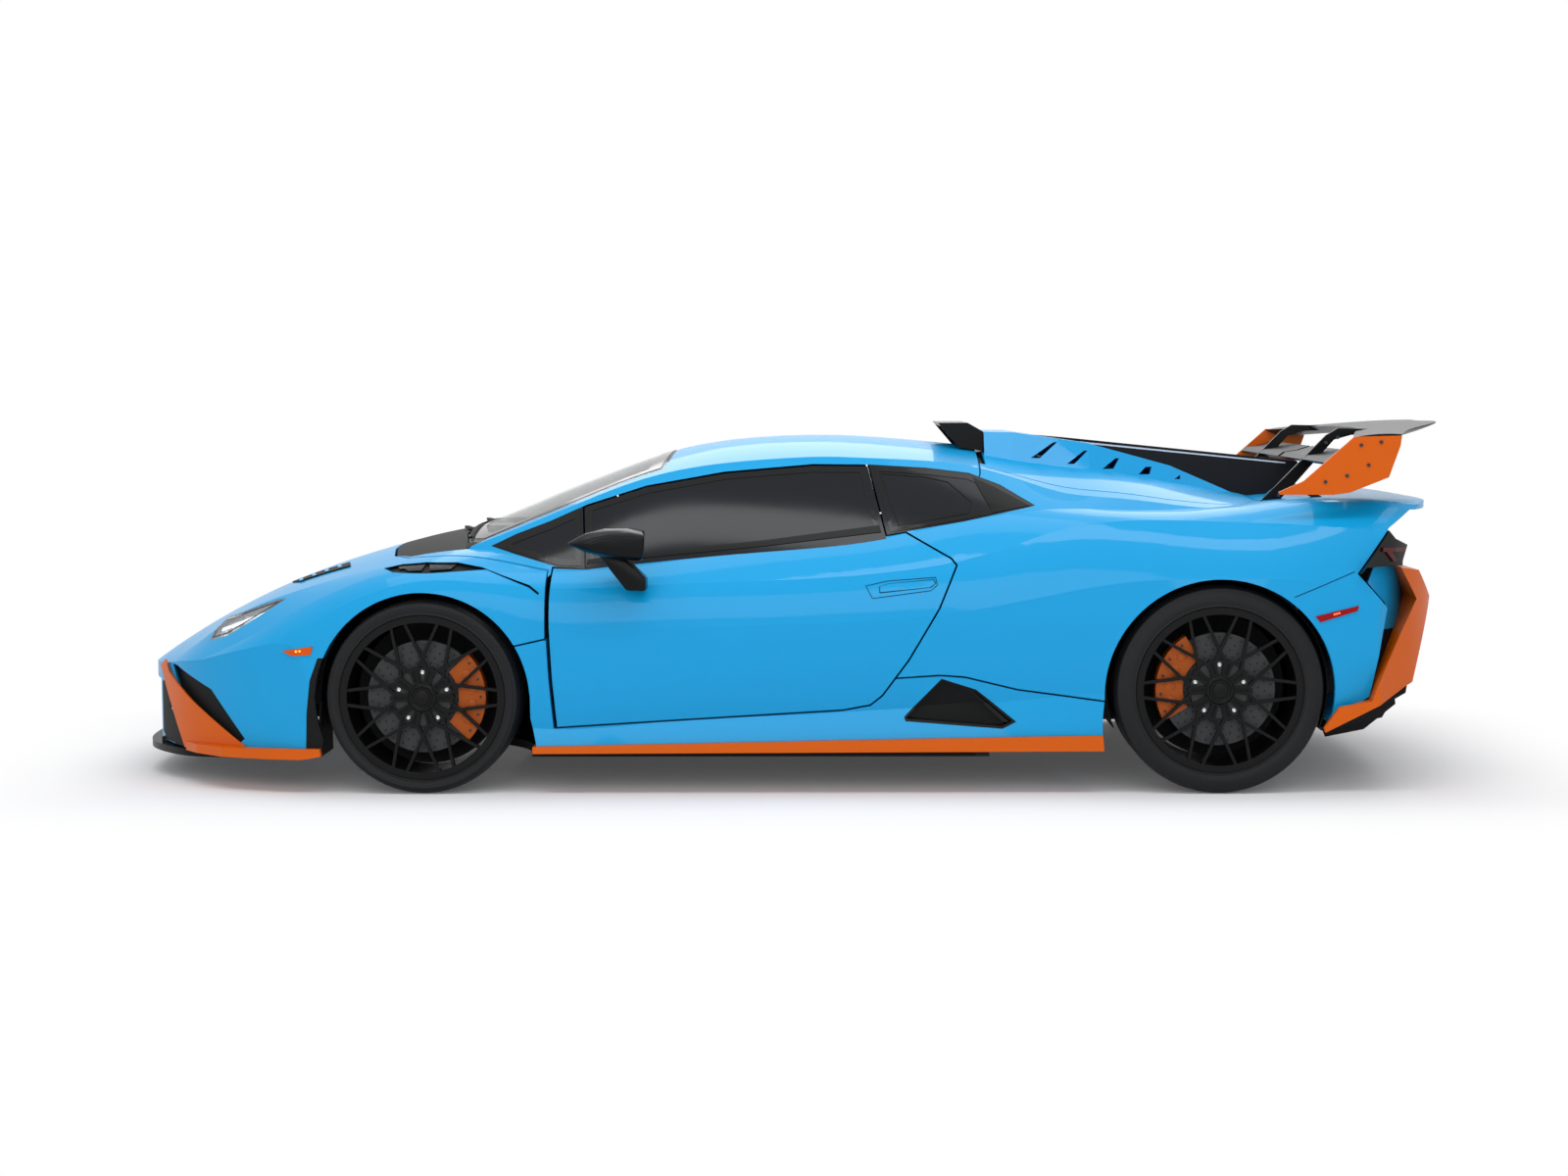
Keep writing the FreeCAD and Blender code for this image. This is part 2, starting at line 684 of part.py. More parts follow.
def plan_prism_left(shares):
    points = [(x, -y) for x, y in plan_points(shares)]
    return prism_up(points, -overrun, roof_height + overrun)


def left_band(inner, outer):
    return box(-length, length, -outer, -inner, -overrun, 2 * roof_height)


def offset_prism(shares, offset, y0, y1):
    ring = [vec(x, y0, z) for x, z in side_points(shares)]
    face = Part.Face(Part.makePolygon(ring + ring[:1]))
    smaller = face.makeOffset2D(offset, 2)
    return smaller.extrude(vec(0, y1 - y0, 0))


def save(name, shape):
    solids = [solid for solid in shape.Solids if solid.Volume > least_volume]
    joined = solids[0] if len(solids) == 1 else Part.Compound(solids)
    joined.exportStep("parts/" + name + ".step")
    return joined


def save_pair(name, left):
    save(name + "_left", left)
    save(name + "_right", mirrored(left))


def arches():
    front = arch_tool(front_axle_x, front_arch_z, front_arch_radius, front_arch_foot_shares)
    rear = arch_tool(rear_axle_x, rear_arch_z, rear_arch_radius, rear_arch_foot_shares)
    return front, rear


def build_shell():
    front, rear = arches()
    return body(0).cut(body(skin)).cut(front).cut(rear)


# Painted panels


def clamshell(shell):
    panel = shell.common(wide_prism(clam_side_shares)).common(plan_prism_both(clam_plan_shares))
    opening = wide_prism(front_opening_side_shares)
    centre = box(-length, nose_hinge_x + overrun, -nose_mouth_half_width, nose_mouth_half_width,
                 0, nose_mouth_top)
    lamp_seat = wide_prism(lamp_side_shares)
    lug_outer_y = nose_lug_y + nose_lug_width
    lug = cylinder_across(nose_hinge_x, nose_hinge_z, nose_lug_radius, nose_lug_y, lug_outer_y)
    bar = box(-length, nose_hinge_x, nose_lug_y, lug_outer_y, nose_hinge_z - nose_pin_radius,
              nose_hinge_z + nose_pin_radius)
    lug = lug.fuse(bar).common(plan_trim(skin / 2))
    bore_radius = nose_pin_radius + running_gap
    pin = cylinder_across(nose_hinge_x, nose_hinge_z, bore_radius, -half_width, half_width)
    for shares in (louvre_side_shares, arch_strip_side_shares):
        hole = prism_across(side_points(shares), -half_width, -louvre_inner_y)
        panel = panel.cut(hole).cut(mirrored(hole))
    whole = panel.cut(opening).cut(centre).cut(lamp_seat).fuse(lug).fuse(mirrored(lug))
    return largest(whole.cut(pin))


def cowl(shell):
    upper = box(-length, 0, -half_width, half_width, roof_height / 2, 2 * roof_height)
    return largest(shell.common(plan_prism_both(cowl_plan_shares)).common(upper))


def roof(shell):
    panel = shell.common(plan_prism_both(roof_plan_shares)).common(wide_prism(roof_side_shares))
    front = plan_prism_both(cowl_plan_shares)
    panel = panel.cut(front).cut(front.translated(vec(screen_gap, 0, 0)))
    panel = panel.cut(plan_prism_both(windscreen_plan_shares))
    panel = panel.cut(wide_prism(glass_outline_shares)).cut(wide_prism(door_outline_shares))
    return largest(panel)


def quarter_left(shell):
    panel = shell.common(wide_prism(quarter_side_shares)).common(plan_prism_left(quarter_plan_shares))
    panel = panel.cut(wide_prism(glass_outline_shares)).cut(wide_prism(door_outline_shares))
    return largest(panel)


def upper_panel(shell, plan_shares, bottom):
    upper = box(-length, length, -half_width, half_width, bottom, 2 * roof_height)
    return largest(shell.common(plan_prism_both(plan_shares)).common(upper))


def intake_tool():
    pocket = lower_body(-skin).cut(lower_body(intake_depth))
    return pocket.common(prism_across(side_points(intake_side_shares), -half_width - overrun, 0))


def side_intake_left():
    outline = offset_prism(intake_side_shares, -seat_gap, -half_width - overrun, 0)
    hollow = offset_prism(intake_side_shares, -intake_wall, -half_width - overrun, 0)
    tray = lower_body(intake_rim).cut(lower_body(intake_depth - seat_gap)).common(outline)
    tray = tray.cut(hollow.cut(lower_body(intake_depth - intake_wall)))
    vane = lower_body(intake_rim).cut(lower_body(intake_depth - intake_wall / 2))
    vane = vane.common(prism_across(side_points(intake_fin_side_shares), -half_width - overrun, 0))
    return largest(tray.fuse(vane))


def sill_left(lower, tools, blade):
    band = left_band(half_width - sill_depth, half_width + overrun)
    block = lower.common(wide_prism(sill_side_shares)).common(band)
    for tool in tools:
        block = block.cut(tool)
    below = wide_prism(sill_under_side_shares)
    gap = wide_prism(door_outline_shares)
    block = block.cut(gap).cut(gap.translated(vec(-door_swing_gap, 0, 0))).cut(blade).cut(below)
    return largest(block.cut(intake_tool()))


def door_left():
    outer = half_width + overrun
    lower = lower_body(0)
    thin = lower.cut(lower_body(door_flange)).common(left_band(door_inner_y, outer))
    thick = lower.cut(lower_body(door_depth)).common(left_band(door_inner_y, outer))
    flange = thin.common(offset_prism(door_outline_shares, -panel_gap, -outer, outer))
    box_part = thick.common(offset_prism(door_outline_shares, -panel_gap - door_step, -outer, outer))
    whole = flange.fuse(box_part)
    reach = hinge_arm_half_width + hinge_pocket_gap
    for z in hinge_levels:
        z0 = z - hinge_pocket_gap
        z1 = z + hinge_height + hinge_pocket_gap
        whole = whole.cut(box(door_hinge_x - overrun, door_hinge_x + reach, -door_hinge_y, 0, z0, z1))
        whole = whole.cut(box(door_hinge_x - overrun, door_hinge_x, -door_hinge_y - reach, 0, z0, z1))
        whole = whole.cut(Part.makeCylinder(reach, z1 - z0, vec(door_hinge_x, -door_hinge_y, z0)))
        whole = whole.cut(Part.makeCylinder(door_pin_radius + running_gap, z1 - z0 + 2 * door_pin_reach,
                                            vec(door_hinge_x, -door_hinge_y, z0 - door_pin_reach)))
    slot = cabin_body(0).cut(cabin_body(2 * glass_inset + glass))
    gap = panel_gap - glass_inset
    upper = offset_prism(glass_outline_shares, -gap, -outer, 0)
    below = upper.translated(vec(0, 0, -glass_drop))
    middle = zone(glass_split_front_shares, glass_split_rear_shares, gap, gap)
    return largest(whole.cut(slot.common(below.fuse(upper)).common(middle)).removeSplitter())


# Glass


def glass_shell():
    return cabin_body(glass_inset).cut(cabin_body(glass_inset + glass))


def zone(front_shares, rear_shares, front_gap, rear_gap):
    front = [(x + front_gap, z) for x, z in side_points(front_shares)]
    rear = [(x - rear_gap, z) for x, z in side_points(rear_shares)]
    return prism_across(front + rear[::-1], -half_width - overrun, half_width + overrun)


def windscreen(pane):
    upper = box(-length, 0, -half_width, half_width, roof_height / 2, 2 * roof_height)
    return largest(pane.common(plan_prism_both(windscreen_plan_shares)).common(upper))


def door_glass_left(pane):
    outer = half_width + overrun
    window = offset_prism(glass_outline_shares, -panel_gap, -outer, 0)
    lowered = window.translated(vec(0, 0, -glass_drop))
    middle = zone(glass_split_front_shares, glass_split_rear_shares, panel_gap, panel_gap)
    return largest(pane.common(window.fuse(lowered)).common(middle))


def side_glass_left(pane):
    outer = half_width + overrun
    window = prism_across(side_points(glass_outline_shares), -outer, 0)
    middle = zone(glass_split_front_shares, glass_split_rear_shares, 0, 0)
    panes = pane.common(window).cut(middle)
    ranked = sorted(panes.Solids, key=lambda solid: -solid.Volume)
    return Part.Compound(ranked[:2])


# Nose and tail pieces


def splitter(grown):
    points = plan_points(splitter_plan_shares)
    curve = Part.BSplineCurve()
    curve.interpolate([vec(x, -y, splitter_bottom) for x, y in reversed(points)]
                      + [vec(x, y, splitter_bottom) for x, y in points[1:]])
    edges = [curve.toShape(), Part.makeLine(curve.EndPoint, curve.StartPoint)]
    plate = Part.Face(Part.Wire(edges)).extrude(vec(0, 0, splitter_thickness))
    mouth = box(splitter_mouth_x, 0, -nose_mouth_half_width, nose_mouth_half_width, 0, roof_height)
    posts = prism_up(plan_points(splitter_post_shares), splitter_bottom, splitter_post_top)
    whole = plate.cut(mouth).fuse(posts).fuse(mirrored(posts)).cut(grown)
    return largest(whole.cut(grown.translated(vec(0, 0, -edge_drop))))


def front_blade_left(grown):
    ring = plan_trim(-blade_thickness).cut(plan_trim(-seat_gap))
    blade = largest(ring.common(prism_across(side_points(blade_side_shares), -half_width, -blade_inner_y)))
    outer = plan_points(lip_plan_shares)
    inner = [(x + lip_depth, y - lip_depth) for x, y in reversed(outer)]
    lip = prism_up([(x, -y) for x, y in outer + inner], 0, roof_height)
    lip = lip.common(wide_prism(lip_side_shares)).cut(grown).cut(grown.translated(vec(0, 0, -edge_drop)))
    return largest(blade.fuse(lip))


def sill_blade_left():
    return prism_across(side_points(sill_blade_side_shares), -sill_blade_outer_y, -sill_blade_inner_y)


def headlight_left(lower_skin):
    lamp = lower_skin.common(offset_prism(lamp_side_shares, -lamp_seam, -half_width, 0))
    return largest(lamp)


def front_grille(shell):
    ring = plan_trim(grille_inset).cut(plan_trim(grille_inset + grille_thickness))
    z0 = splitter_bottom + splitter_thickness + seat_gap
    centre = box(-length, 0, -nose_mouth_half_width, nose_mouth_half_width, z0, nose_mouth_top)
    side_band = left_band(nose_mouth_half_width + nose_lug_width + skin, half_width)
    sides = side_band.common(wide_prism(grille_side_shares))
    flank = lower_body(skin + seat_gap).common(plan_trim(skin + seat_gap))
    flank = flank.cut(plan_trim(skin + grille_thickness))
    vent = lower_body(skin - louvre_depth).cut(lower_body(skin))
    vent = vent.common(offset_prism(louvre_side_shares, -seat_gap, -half_width, -louvre_inner_y))
    vent = largest(vent.common(plan_prism_left(clam_plan_shares)))
    strip_outline = offset_prism(arch_strip_side_shares, -seat_gap, -half_width, -louvre_inner_y)
    strip = largest(shell.common(strip_outline))
    left = [largest(flank.common(sides.common(left_band(0, half_width)))), vent, strip]
    return [largest(ring.common(centre))] + left + [mirrored(piece) for piece in left]


def rear_fascia(pipes, grown):
    reach = left_band(-blade_reach_y, blade_reach_y)
    ring = plan_trim(fascia_inset).common(reach)
    inner_reach = left_band(fascia_thickness - blade_reach_y, blade_reach_y - fascia_thickness)
    ring = ring.cut(plan_trim(fascia_inset + fascia_thickness).common(inner_reach))
    wall = ring.common(wide_prism(fascia_side_shares)).cut(grown)
    seat_half_width = diffuser_half_width + seat_gap
    seat = offset_prism(diffuser_side_shares, seat_gap, -seat_half_width, seat_half_width)
    corner = wall.common(wide_prism(bumper_side_shares)).common(left_band(bumper_inner_y, half_width))
    corner = largest(corner)
    back = plan_trim(tail_band_inset + fascia_thickness)
    top = max(z for x, z in side_points(fascia_side_shares))
    low = top - fascia_thickness
    shelf = plan_trim(fascia_inset).cut(back).common(box(0, length, -half_width, half_width, low, top))
    band = plan_trim(tail_band_inset).cut(back)
    band = band.common(box(0, length, -half_width, half_width, low, roof_height))
    upper = shelf.fuse(band).common(left_band(-bumper_inner_y, bumper_inner_y)).cut(grown)
    whole = wall.cut(corner).cut(mirrored(corner)).fuse(upper)
    return largest(whole.cut(pipes).cut(seat)), corner


def rear_blade_left(grown):
    outer = plan_trim(-rear_blade_depth).common(left_band(rear_blade_inner_y, blade_reach_y + skin))
    inner = plan_trim(fascia_inset - seat_gap).common(left_band(0, blade_reach_y + seat_gap))
    return largest(outer.cut(inner).common(wide_prism(rear_blade_side_shares)).cut(grown))


def diffuser():
    return prism_across(side_points(diffuser_side_shares), -diffuser_half_width, diffuser_half_width)


def tail_light_left(grown):
    shape = wide_prism(lamp_house_side_shares).common(left_band(lamp_house_inner_y, half_width))
    shape = shape.common(plan_trim(skin))
    hidden = plan_trim(tail_band_inset - seat_gap).common(left_band(0, bumper_inner_y + seat_gap))
    return largest(shape.cut(hidden).cut(grown))


def cylinder_along(y):
    return Part.makeCylinder(exhaust_radius + seat_gap, length, vec(0, y, exhaust_z), vec(1, 0, 0))


def exhaust_left():
    start = vec(exhaust_x, -exhaust_y, exhaust_z)
    outer = Part.makeCylinder(exhaust_radius, exhaust_length, start, vec(1, 0, 0))
    inner = Part.makeCylinder(exhaust_radius - exhaust_wall, exhaust_length - exhaust_wall,
                              vec(exhaust_x + exhaust_wall, -exhaust_y, exhaust_z), vec(1, 0, 0))
    return outer.cut(inner)


# Wing, fin and snorkel


def wing_edge_pair(y, front, rear, front_z, rear_z):
    dx = rear - front
    dz = rear_z - front_z
    under = Part.BSplineCurve()
    crest_x = front + dx * wing_crest_share
    crest_z = front_z + dz * wing_crest_share
    under.interpolate([vec(front, y, front_z), vec(crest_x, y, crest_z - wing_thickness),
                       vec(rear, y, rear_z - wing_edge)])
    over = Part.BSplineCurve()
    over.interpolate([vec(rear, y, rear_z), vec(crest_x, y, crest_z + wing_edge), vec(front, y, front_z)])
    return Part.Wire([under.toShape(), Part.makeLine(under.EndPoint, over.StartPoint), over.toShape()])


def wing_plane():
    left = [(-row[0], *row[1:]) for row in reversed(wing_section_shares)]
    wires = []
    for y, front, rear, front_z, rear_z in left + list(wing_section_shares[1:]):
        wires.append(wing_edge_pair(across(y), along(front), along(rear), up(front_z), up(rear_z)))
    return Part.makeLoft(wires, True, False)


def lower_wing_left():
    whole = prism_across(side_points(lower_wing_side_shares), -wing_half_span, -lower_wing_inner_y)
    reach = pylon_thickness / 2 + seat_gap
    return whole.cut(box(0, length, -pylon_y - reach, reach - pylon_y, 0, 2 * roof_height))


def endplate_left(solid):
    y0 = -wing_half_span - plate_thickness - seat_gap
    plate = prism_across(side_points(endplate_side_shares), y0, y0 + plate_thickness)
    return largest(plate.cut(solid.translated(vec(0, 0, seat_gap))))


def pylon_left(wing, solid):
    half = pylon_thickness / 2
    plate = prism_across(side_points(pylon_side_shares), -pylon_y - half, -pylon_y + half)
    plate = plate.cut(solid.translated(vec(0, 0, seat_gap)))
    return largest(plate.cut(wing.translated(vec(0, 0, -seat_gap))).cut(wing))


def fin(cover, solid):
    plate = prism_across(side_points(fin_side_shares), -fin_thickness / 2, fin_thickness / 2)
    lift = vec(0, 0, seat_gap)
    return largest(plate.cut(solid.translated(lift)).cut(cover.translated(lift)))


def duct_body(inset):
    wires = []
    for x_share, half, top in duct_section_shares:
        half_top = across(half) - inset
        half_foot = half_top + duct_lean
        x = along(x_share)
        z1 = up(top) - inset
        z0 = up(duct_foot_share)
        ring = [vec(x, -half_foot, z0), vec(x, -half_top, z1), vec(x, half_top, z1), vec(x, half_foot, z0)]
        wires.append(Part.makePolygon(ring + ring[:1]))
    return Part.makeLoft(wires, True, True)


def cover_with_duct(panel, solid):
    outer = duct_body(0)
    hump = outer.cut(duct_body(duct_wall)).cut(solid.translated(vec(0, 0, -skin / 2)))
    whole = panel.fuse(hump)
    for shares in cover_slot_shares:
        slot = prism_across(side_points(shares), -half_width, -cover_slot_inner_y)
        whole = whole.cut(slot).cut(mirrored(slot))
    return largest(whole)


def snorkel(cover, solid):
    outer = wide_prism(snorkel_side_shares)
    outer = outer.common(box(-length, length, -snorkel_half_width, snorkel_half_width, 0, length))
    inner = wide_prism(snorkel_side_shares).translated(vec(0, 0, -scoop_wall))
    half = snorkel_half_width - scoop_wall
    inner = inner.common(box(-length, length, -half, half, 0, length))
    ahead = solid.translated(vec(0, 0, panel_gap)).common(box(0, cover_front_x, -length, length, 0, length))
    hood = outer.cut(inner).cut(ahead)
    for shift in ((seat_gap, 0, seat_gap), (-seat_gap, 0, 0), (0, seat_gap, 0), (0, -seat_gap, 0)):
        hood = hood.cut(cover.translated(vec(*shift)))
    return largest(hood.cut(solid.translated(vec(0, 0, seat_gap))))


# Wheels. Built at the left side, with the outer face towards -Y.


def ring_of(points):
    ring = [vec(radius, y, 0) for radius, y in points]
    face = Part.Face(Part.makePolygon(ring + ring[:1]))
    return face.revolve(vec(0, 0, 0), vec(0, 1, 0), full_turn)


def tyre(radius, width):
    half = width / 2
    seat = half - tyre_seat_inset
    return ring_of([
        (bead_radius + tyre_seat_gap, seat - tyre_bead_taper), (rim_radius + sidewall_rise, half),
        (radius - shoulder_drop, half - shoulder_round), (radius, half - crown_inset),
        (radius, crown_inset - half), (radius - shoulder_drop, shoulder_round - half),
        (rim_radius + sidewall_rise, -half), (bead_radius + tyre_seat_gap, tyre_bead_taper - seat),
    ])


def rim(width):
    seat = width / 2 - tyre_seat_inset
    outer = -seat - rim_lip
    inner = seat
    barrel = ring_of([
        (bead_radius, inner), (bead_radius, -seat), (rim_radius, -seat), (rim_radius, outer),
        (bead_radius - rim_wall, outer), (bead_radius - rim_wall, inner),
    ])
    face_y = outer + spoke_inset
    hub = cylinder_across(0, 0, hub_radius, face_y, face_y + spoke_depth)
    solid = [hub]
    for number in range(spoke_count):
        solid.append(spoke(face_y, full_turn * number / spoke_count))
    whole = barrel.multiFuse(solid)
    bore = cylinder_across(0, 0, spindle_radius + running_gap, -width, width)
    return largest(whole.cut(bore))


def spoke(face_y, angle):
    half = spoke_width / 2
    back_y = face_y + spoke_depth
    root = spoke_root_width / 2
    start = hub_radius - spoke_inset
    stem_ring = [(start, -root), (fork_radius - half, -half), (fork_radius, -arm_half_width),
                 (fork_radius, arm_half_width), (fork_radius - half, half), (start, root)]
    stem = prism_across(stem_ring, face_y, back_y)
    reach = bead_radius - rim_wall / 2
    arms = []
    for side in (-1, 1):
        far_angle = math.radians(fork_spread) * side
        ax, az = fork_radius - half, side * (half - arm_half_width)
        bx, bz = reach * math.cos(far_angle), reach * math.sin(far_angle)
        run = math.hypot(bx - ax, bz - az)
        px, pz = -(bz - az) / run * arm_half_width, (bx - ax) / run * arm_half_width
        ring = [(ax + px, az + pz), (bx + px, bz + pz), (bx - px, bz - pz), (ax - px, az - pz)]
        arms.append(prism_across(ring, face_y, back_y))
    groove = box(hub_radius + spoke_inset, fork_radius - half, face_y, face_y + spoke_groove_depth,
                 -spoke_groove_width / 2, spoke_groove_width / 2)
    whole = stem.multiFuse(arms).cut(groove)
    whole.rotate(vec(0, 0, 0), vec(0, 1, 0), angle)
    return whole


def disc(y):
    bore = spindle_radius + running_gap
    back = y + disc_thickness
    return ring_of([(disc_radius, back), (disc_radius, y), (bore, y), (bore, back)])


def wheel_face_y(width):
    return -(width / 2 - tyre_seat_inset) - rim_lip + spoke_inset


def disc_y(width):
    return wheel_face_y(width) + spoke_depth + disc_clear


def disc_with_bell(width):
    y = disc_y(width)
    front = wheel_face_y(width) + spoke_depth
    bore = spindle_radius + running_gap
    bell = ring_of([(disc_bell_radius, y), (disc_bell_radius, front), (bore, front), (bore, y)])
    return largest(bell.fuse(disc(y)))


def caliper(width, centre_angle):
    y = disc_y(width) - caliper_gap - caliper_cheek
    depth = disc_thickness + 2 * caliper_gap + 2 * caliper_cheek
    outer = disc_radius + caliper_gap + caliper_bridge
    inner = disc_radius - caliper_radial
    sector = Part.makeCylinder(outer, depth, vec(0, 0, 0), vec(0, 1, 0), 2 * caliper_half_angle)
    hole = Part.makeCylinder(inner, depth, vec(0, 0, 0), vec(0, 1, 0), full_turn)
    body_part = sector.cut(hole)
    turn = caliper_half_angle + centre_angle
    body_part.rotate(vec(0, 0, 0), vec(0, 1, 0), quarter_turn - turn)
    body_part.translate(vec(0, y, 0))
    slot = cylinder_across(0, 0, disc_radius + caliper_gap, y + caliper_cheek, y + depth - caliper_cheek)
    return largest(body_part.cut(slot))


def upright(width, bracket_sign):
    post = box(-upright_depth, upright_depth, -upright_depth, upright_depth, -pin_reach, pin_reach)
    pin = Part.makeCylinder(pin_radius, 2 * pin_reach + 2 * eye_height, vec(0, 0, -pin_reach - eye_height))
    spindle = cylinder_across(0, 0, spindle_radius, wheel_face_y(width) + spoke_depth / 2, 0)
    y0 = disc_y(width) + disc_thickness + caliper_gap + caliper_cheek + seat_gap
    x0, x1 = sorted((0, bracket_sign * (disc_radius - caliper_radial / 2)))
    bracket = box(x0, x1, y0, y0 + caliper_cheek, -upright_depth, upright_depth)
    return largest(post.multiFuse([pin, spindle, bracket]))


def placed(shape, x, half_track, z):
    return shape.translated(vec(x, -half_track, z))


# Tub, engine and subframes


def hinge_left():
    pillar = box(door_hinge_x - pillar_half_length, door_hinge_x + pillar_half_length,
                 -pillar_outer_y, -pillar_inner_y, floor_bottom, hinge_levels[-1] + hinge_height)
    parts = [pillar]
    for z in hinge_levels:
        parts.append(box(door_hinge_x - hinge_arm_half_width, door_hinge_x + hinge_arm_half_width,
                         -door_hinge_y, -pillar_inner_y, z, z + hinge_height))
        axis_foot = vec(door_hinge_x, -door_hinge_y, z)
        parts.append(Part.makeCylinder(hinge_arm_half_width, hinge_height, axis_foot))
        parts.append(Part.makeCylinder(door_pin_radius, hinge_height + 2 * door_pin_reach,
                                       vec(door_hinge_x, -door_hinge_y, z - door_pin_reach)))
    return parts[0].multiFuse(parts[1:])


def floor_pan():
    half = half_width - sill_depth - seat_gap
    plate = box(tub_front_x, tub_rear_x, -half, half, floor_bottom, floor_bottom + floor_thickness)
    tunnel_front_x = tub_front_x + bulkhead_thickness + seat_gap
    tunnel = box(tunnel_front_x, tub_rear_x, -tunnel_half_width, tunnel_half_width, floor_bottom, tunnel_top)
    left = hinge_left()
    whole = plate.multiFuse([tunnel, left, mirrored(left)])
    for side in (-1, 1):
        centre = vec(front_axle_x, side * front_half_track, 0)
        whole = whole.cut(Part.makeCylinder(steer_clear, roof_height, centre))
    return largest(whole.removeSplitter())


def front_bulkhead():
    z0 = floor_bottom + floor_thickness + seat_gap
    return box(tub_front_x, tub_front_x + bulkhead_thickness,
               -front_bulkhead_half_width, front_bulkhead_half_width, z0, front_bulkhead_top)


def rear_bulkhead():
    half = half_width - sill_depth - seat_gap
    x1 = tub_rear_x + bulkhead_thickness
    slab = box(tub_rear_x + seat_gap, x1, -half, half, floor_bottom, 2 * roof_height)
    return largest(body(skin + seat_gap).common(slab))


def engine_block():
    x0 = tub_rear_x + bulkhead_thickness + engine_gap
    return box(x0, x0 + engine_length, -engine_half_width, engine_half_width, engine_bottom,
               engine_bottom + engine_height)


def arm_pair(x, z, inner_y, half_track):
    eye_y = -half_track
    eye_outer = pin_radius + running_gap + eye_wall
    pieces = []
    for level in (-1, 1):
        mid = z + level * (pin_reach + seat_gap + eye_height / 2)
        low = mid - eye_height / 2 + seat_gap
        high = mid + eye_height / 2 - seat_gap
        eye = Part.makeCylinder(eye_outer, high - low, vec(x, eye_y, low))
        arm = box(x - arm_width / 2, x + arm_width / 2, eye_y, -inner_y, low, high)
        hole = Part.makeCylinder(pin_radius + running_gap, 2 * eye_height, vec(x, eye_y, mid - eye_height))
        pieces.append(eye.fuse(arm).cut(hole))
    return pieces


def front_subframe():
    z0 = front_tyre_radius - rail_height
    parts = []
    for side in (-1, 1):
        y = side * front_rail_y
        parts.append(box(front_rail_front_x, tub_front_x, y - rail_width / 2, y + rail_width / 2,
                         z0, z0 + rail_height))
    cross_x = front_axle_x - cross_width / 2
    post_top = front_tyre_radius + pin_reach + eye_height + seat_gap
    post_bottom = front_tyre_radius - pin_reach - eye_height - seat_gap
    half = front_rail_y + rail_width
    parts.append(box(cross_x, cross_x + cross_width, -half, half, post_bottom, post_top))
    reach = nose_lug_y + nose_lug_width
    parts.append(cylinder_across(nose_hinge_x, nose_hinge_z, nose_pin_radius, -reach, reach))
    for piece in arm_pair(front_axle_x, front_tyre_radius, front_rail_y, front_half_track):
        parts.append(piece)
        parts.append(mirrored(piece))
    return parts[0].multiFuse(parts[1:]).removeSplitter()


def rear_subframe():
    z0 = rear_tyre_radius - rail_height
    x0 = tub_rear_x + bulkhead_thickness
    parts = []
    for side in (-1, 1):
        y = side * rear_rail_y
        parts.append(box(x0, rear_rail_rear_x, y - rail_width / 2, y + rail_width / 2, z0, z0 + rail_height))
    cross_x = rear_axle_x + engine_clear
    parts.append(box(cross_x, cross_x + cross_width, -rear_rail_y, rear_rail_y, z0, z0 + rail_height))
    axle_z = rear_tyre_radius
    for side in (-1, 1):
        y0, y1 = sorted((side * rear_rail_y, side * (rear_half_track - upright_depth - seat_gap)))
        for level in (-1, 1):
            z = axle_z + level * pin_reach
            parts.append(box(rear_axle_x - arm_width / 2, rear_axle_x + arm_width / 2, y0, y1,
                             z - arm_height / 2, z + arm_height / 2))
    reach = rear_half_track - upright_depth - seat_gap
    parts.append(cylinder_across(rear_axle_x, axle_z, shaft_radius, -reach, reach))
    parts.append(box(rear_axle_x - arm_width / 2, rear_axle_x + arm_width / 2, -rear_rail_y, rear_rail_y,
                     axle_z - pin_reach - arm_height / 2, axle_z + pin_reach + arm_height / 2))
    return parts[0].multiFuse(parts[1:]).removeSplitter()


def rear_upright():
    top = pin_reach + arm_height
    post = box(-upright_depth, upright_depth, -upright_depth, upright_depth, -top, top)
    spindle = cylinder_across(0, 0, spindle_radius, wheel_face_y(rear_tyre_width) + spoke_depth / 2, 0)
    y0 = disc_y(rear_tyre_width) + disc_thickness + caliper_gap + caliper_cheek + seat_gap
    reach = disc_radius - caliper_radial / 2
    bracket = box(-reach, 0, y0, y0 + caliper_cheek, -upright_depth, upright_depth)
    return largest(post.multiFuse([spindle, bracket]))


def liner_left(x, z, radius, inner_y, outer_y):
    drum = cylinder_across(x, z, radius + liner_wall, -outer_y, liner_wall - inner_y)
    hollow = cylinder_across(x, z, radius, -outer_y, -inner_y)
    notch = box(x - liner_notch_half_width, x + liner_notch_half_width, -outer_y, 0, 0, liner_notch_top)
    above = box(-length, length, -outer_y, 0, liner_bottom, roof_height)
    return drum.cut(hollow).common(above).cut(notch)


def wheel_liners():
    front = liner_left(front_axle_x, front_tyre_radius, steer_clear, front_liner_inner_y,
                       front_liner_outer_y)
    front = largest(front.common(box(-length, front_liner_rear_x, -half_width, 0, 0, roof_height)))
    rear = liner_left(rear_axle_x, rear_tyre_radius, rear_liner_radius, rear_liner_inner_y,
                      rear_liner_outer_y)
    half = liner_bracket_width / 2
    foot = rear_tyre_radius + rear_liner_radius
    bracket = box(rear_axle_x - half, rear_axle_x + half, -liner_bracket_y - half, half - liner_bracket_y,
                  foot, roof_height)
    rear = largest(rear).fuse(bracket.common(lower_body(skin + seat_gap)))
    return both(Part.Compound([front, largest(rear)]))


# Cabin fittings


def seat_left():
    profile = side_points(seat_side_shares)
    return prism_across(profile, -seat_y - seat_width / 2, -seat_y + seat_width / 2)


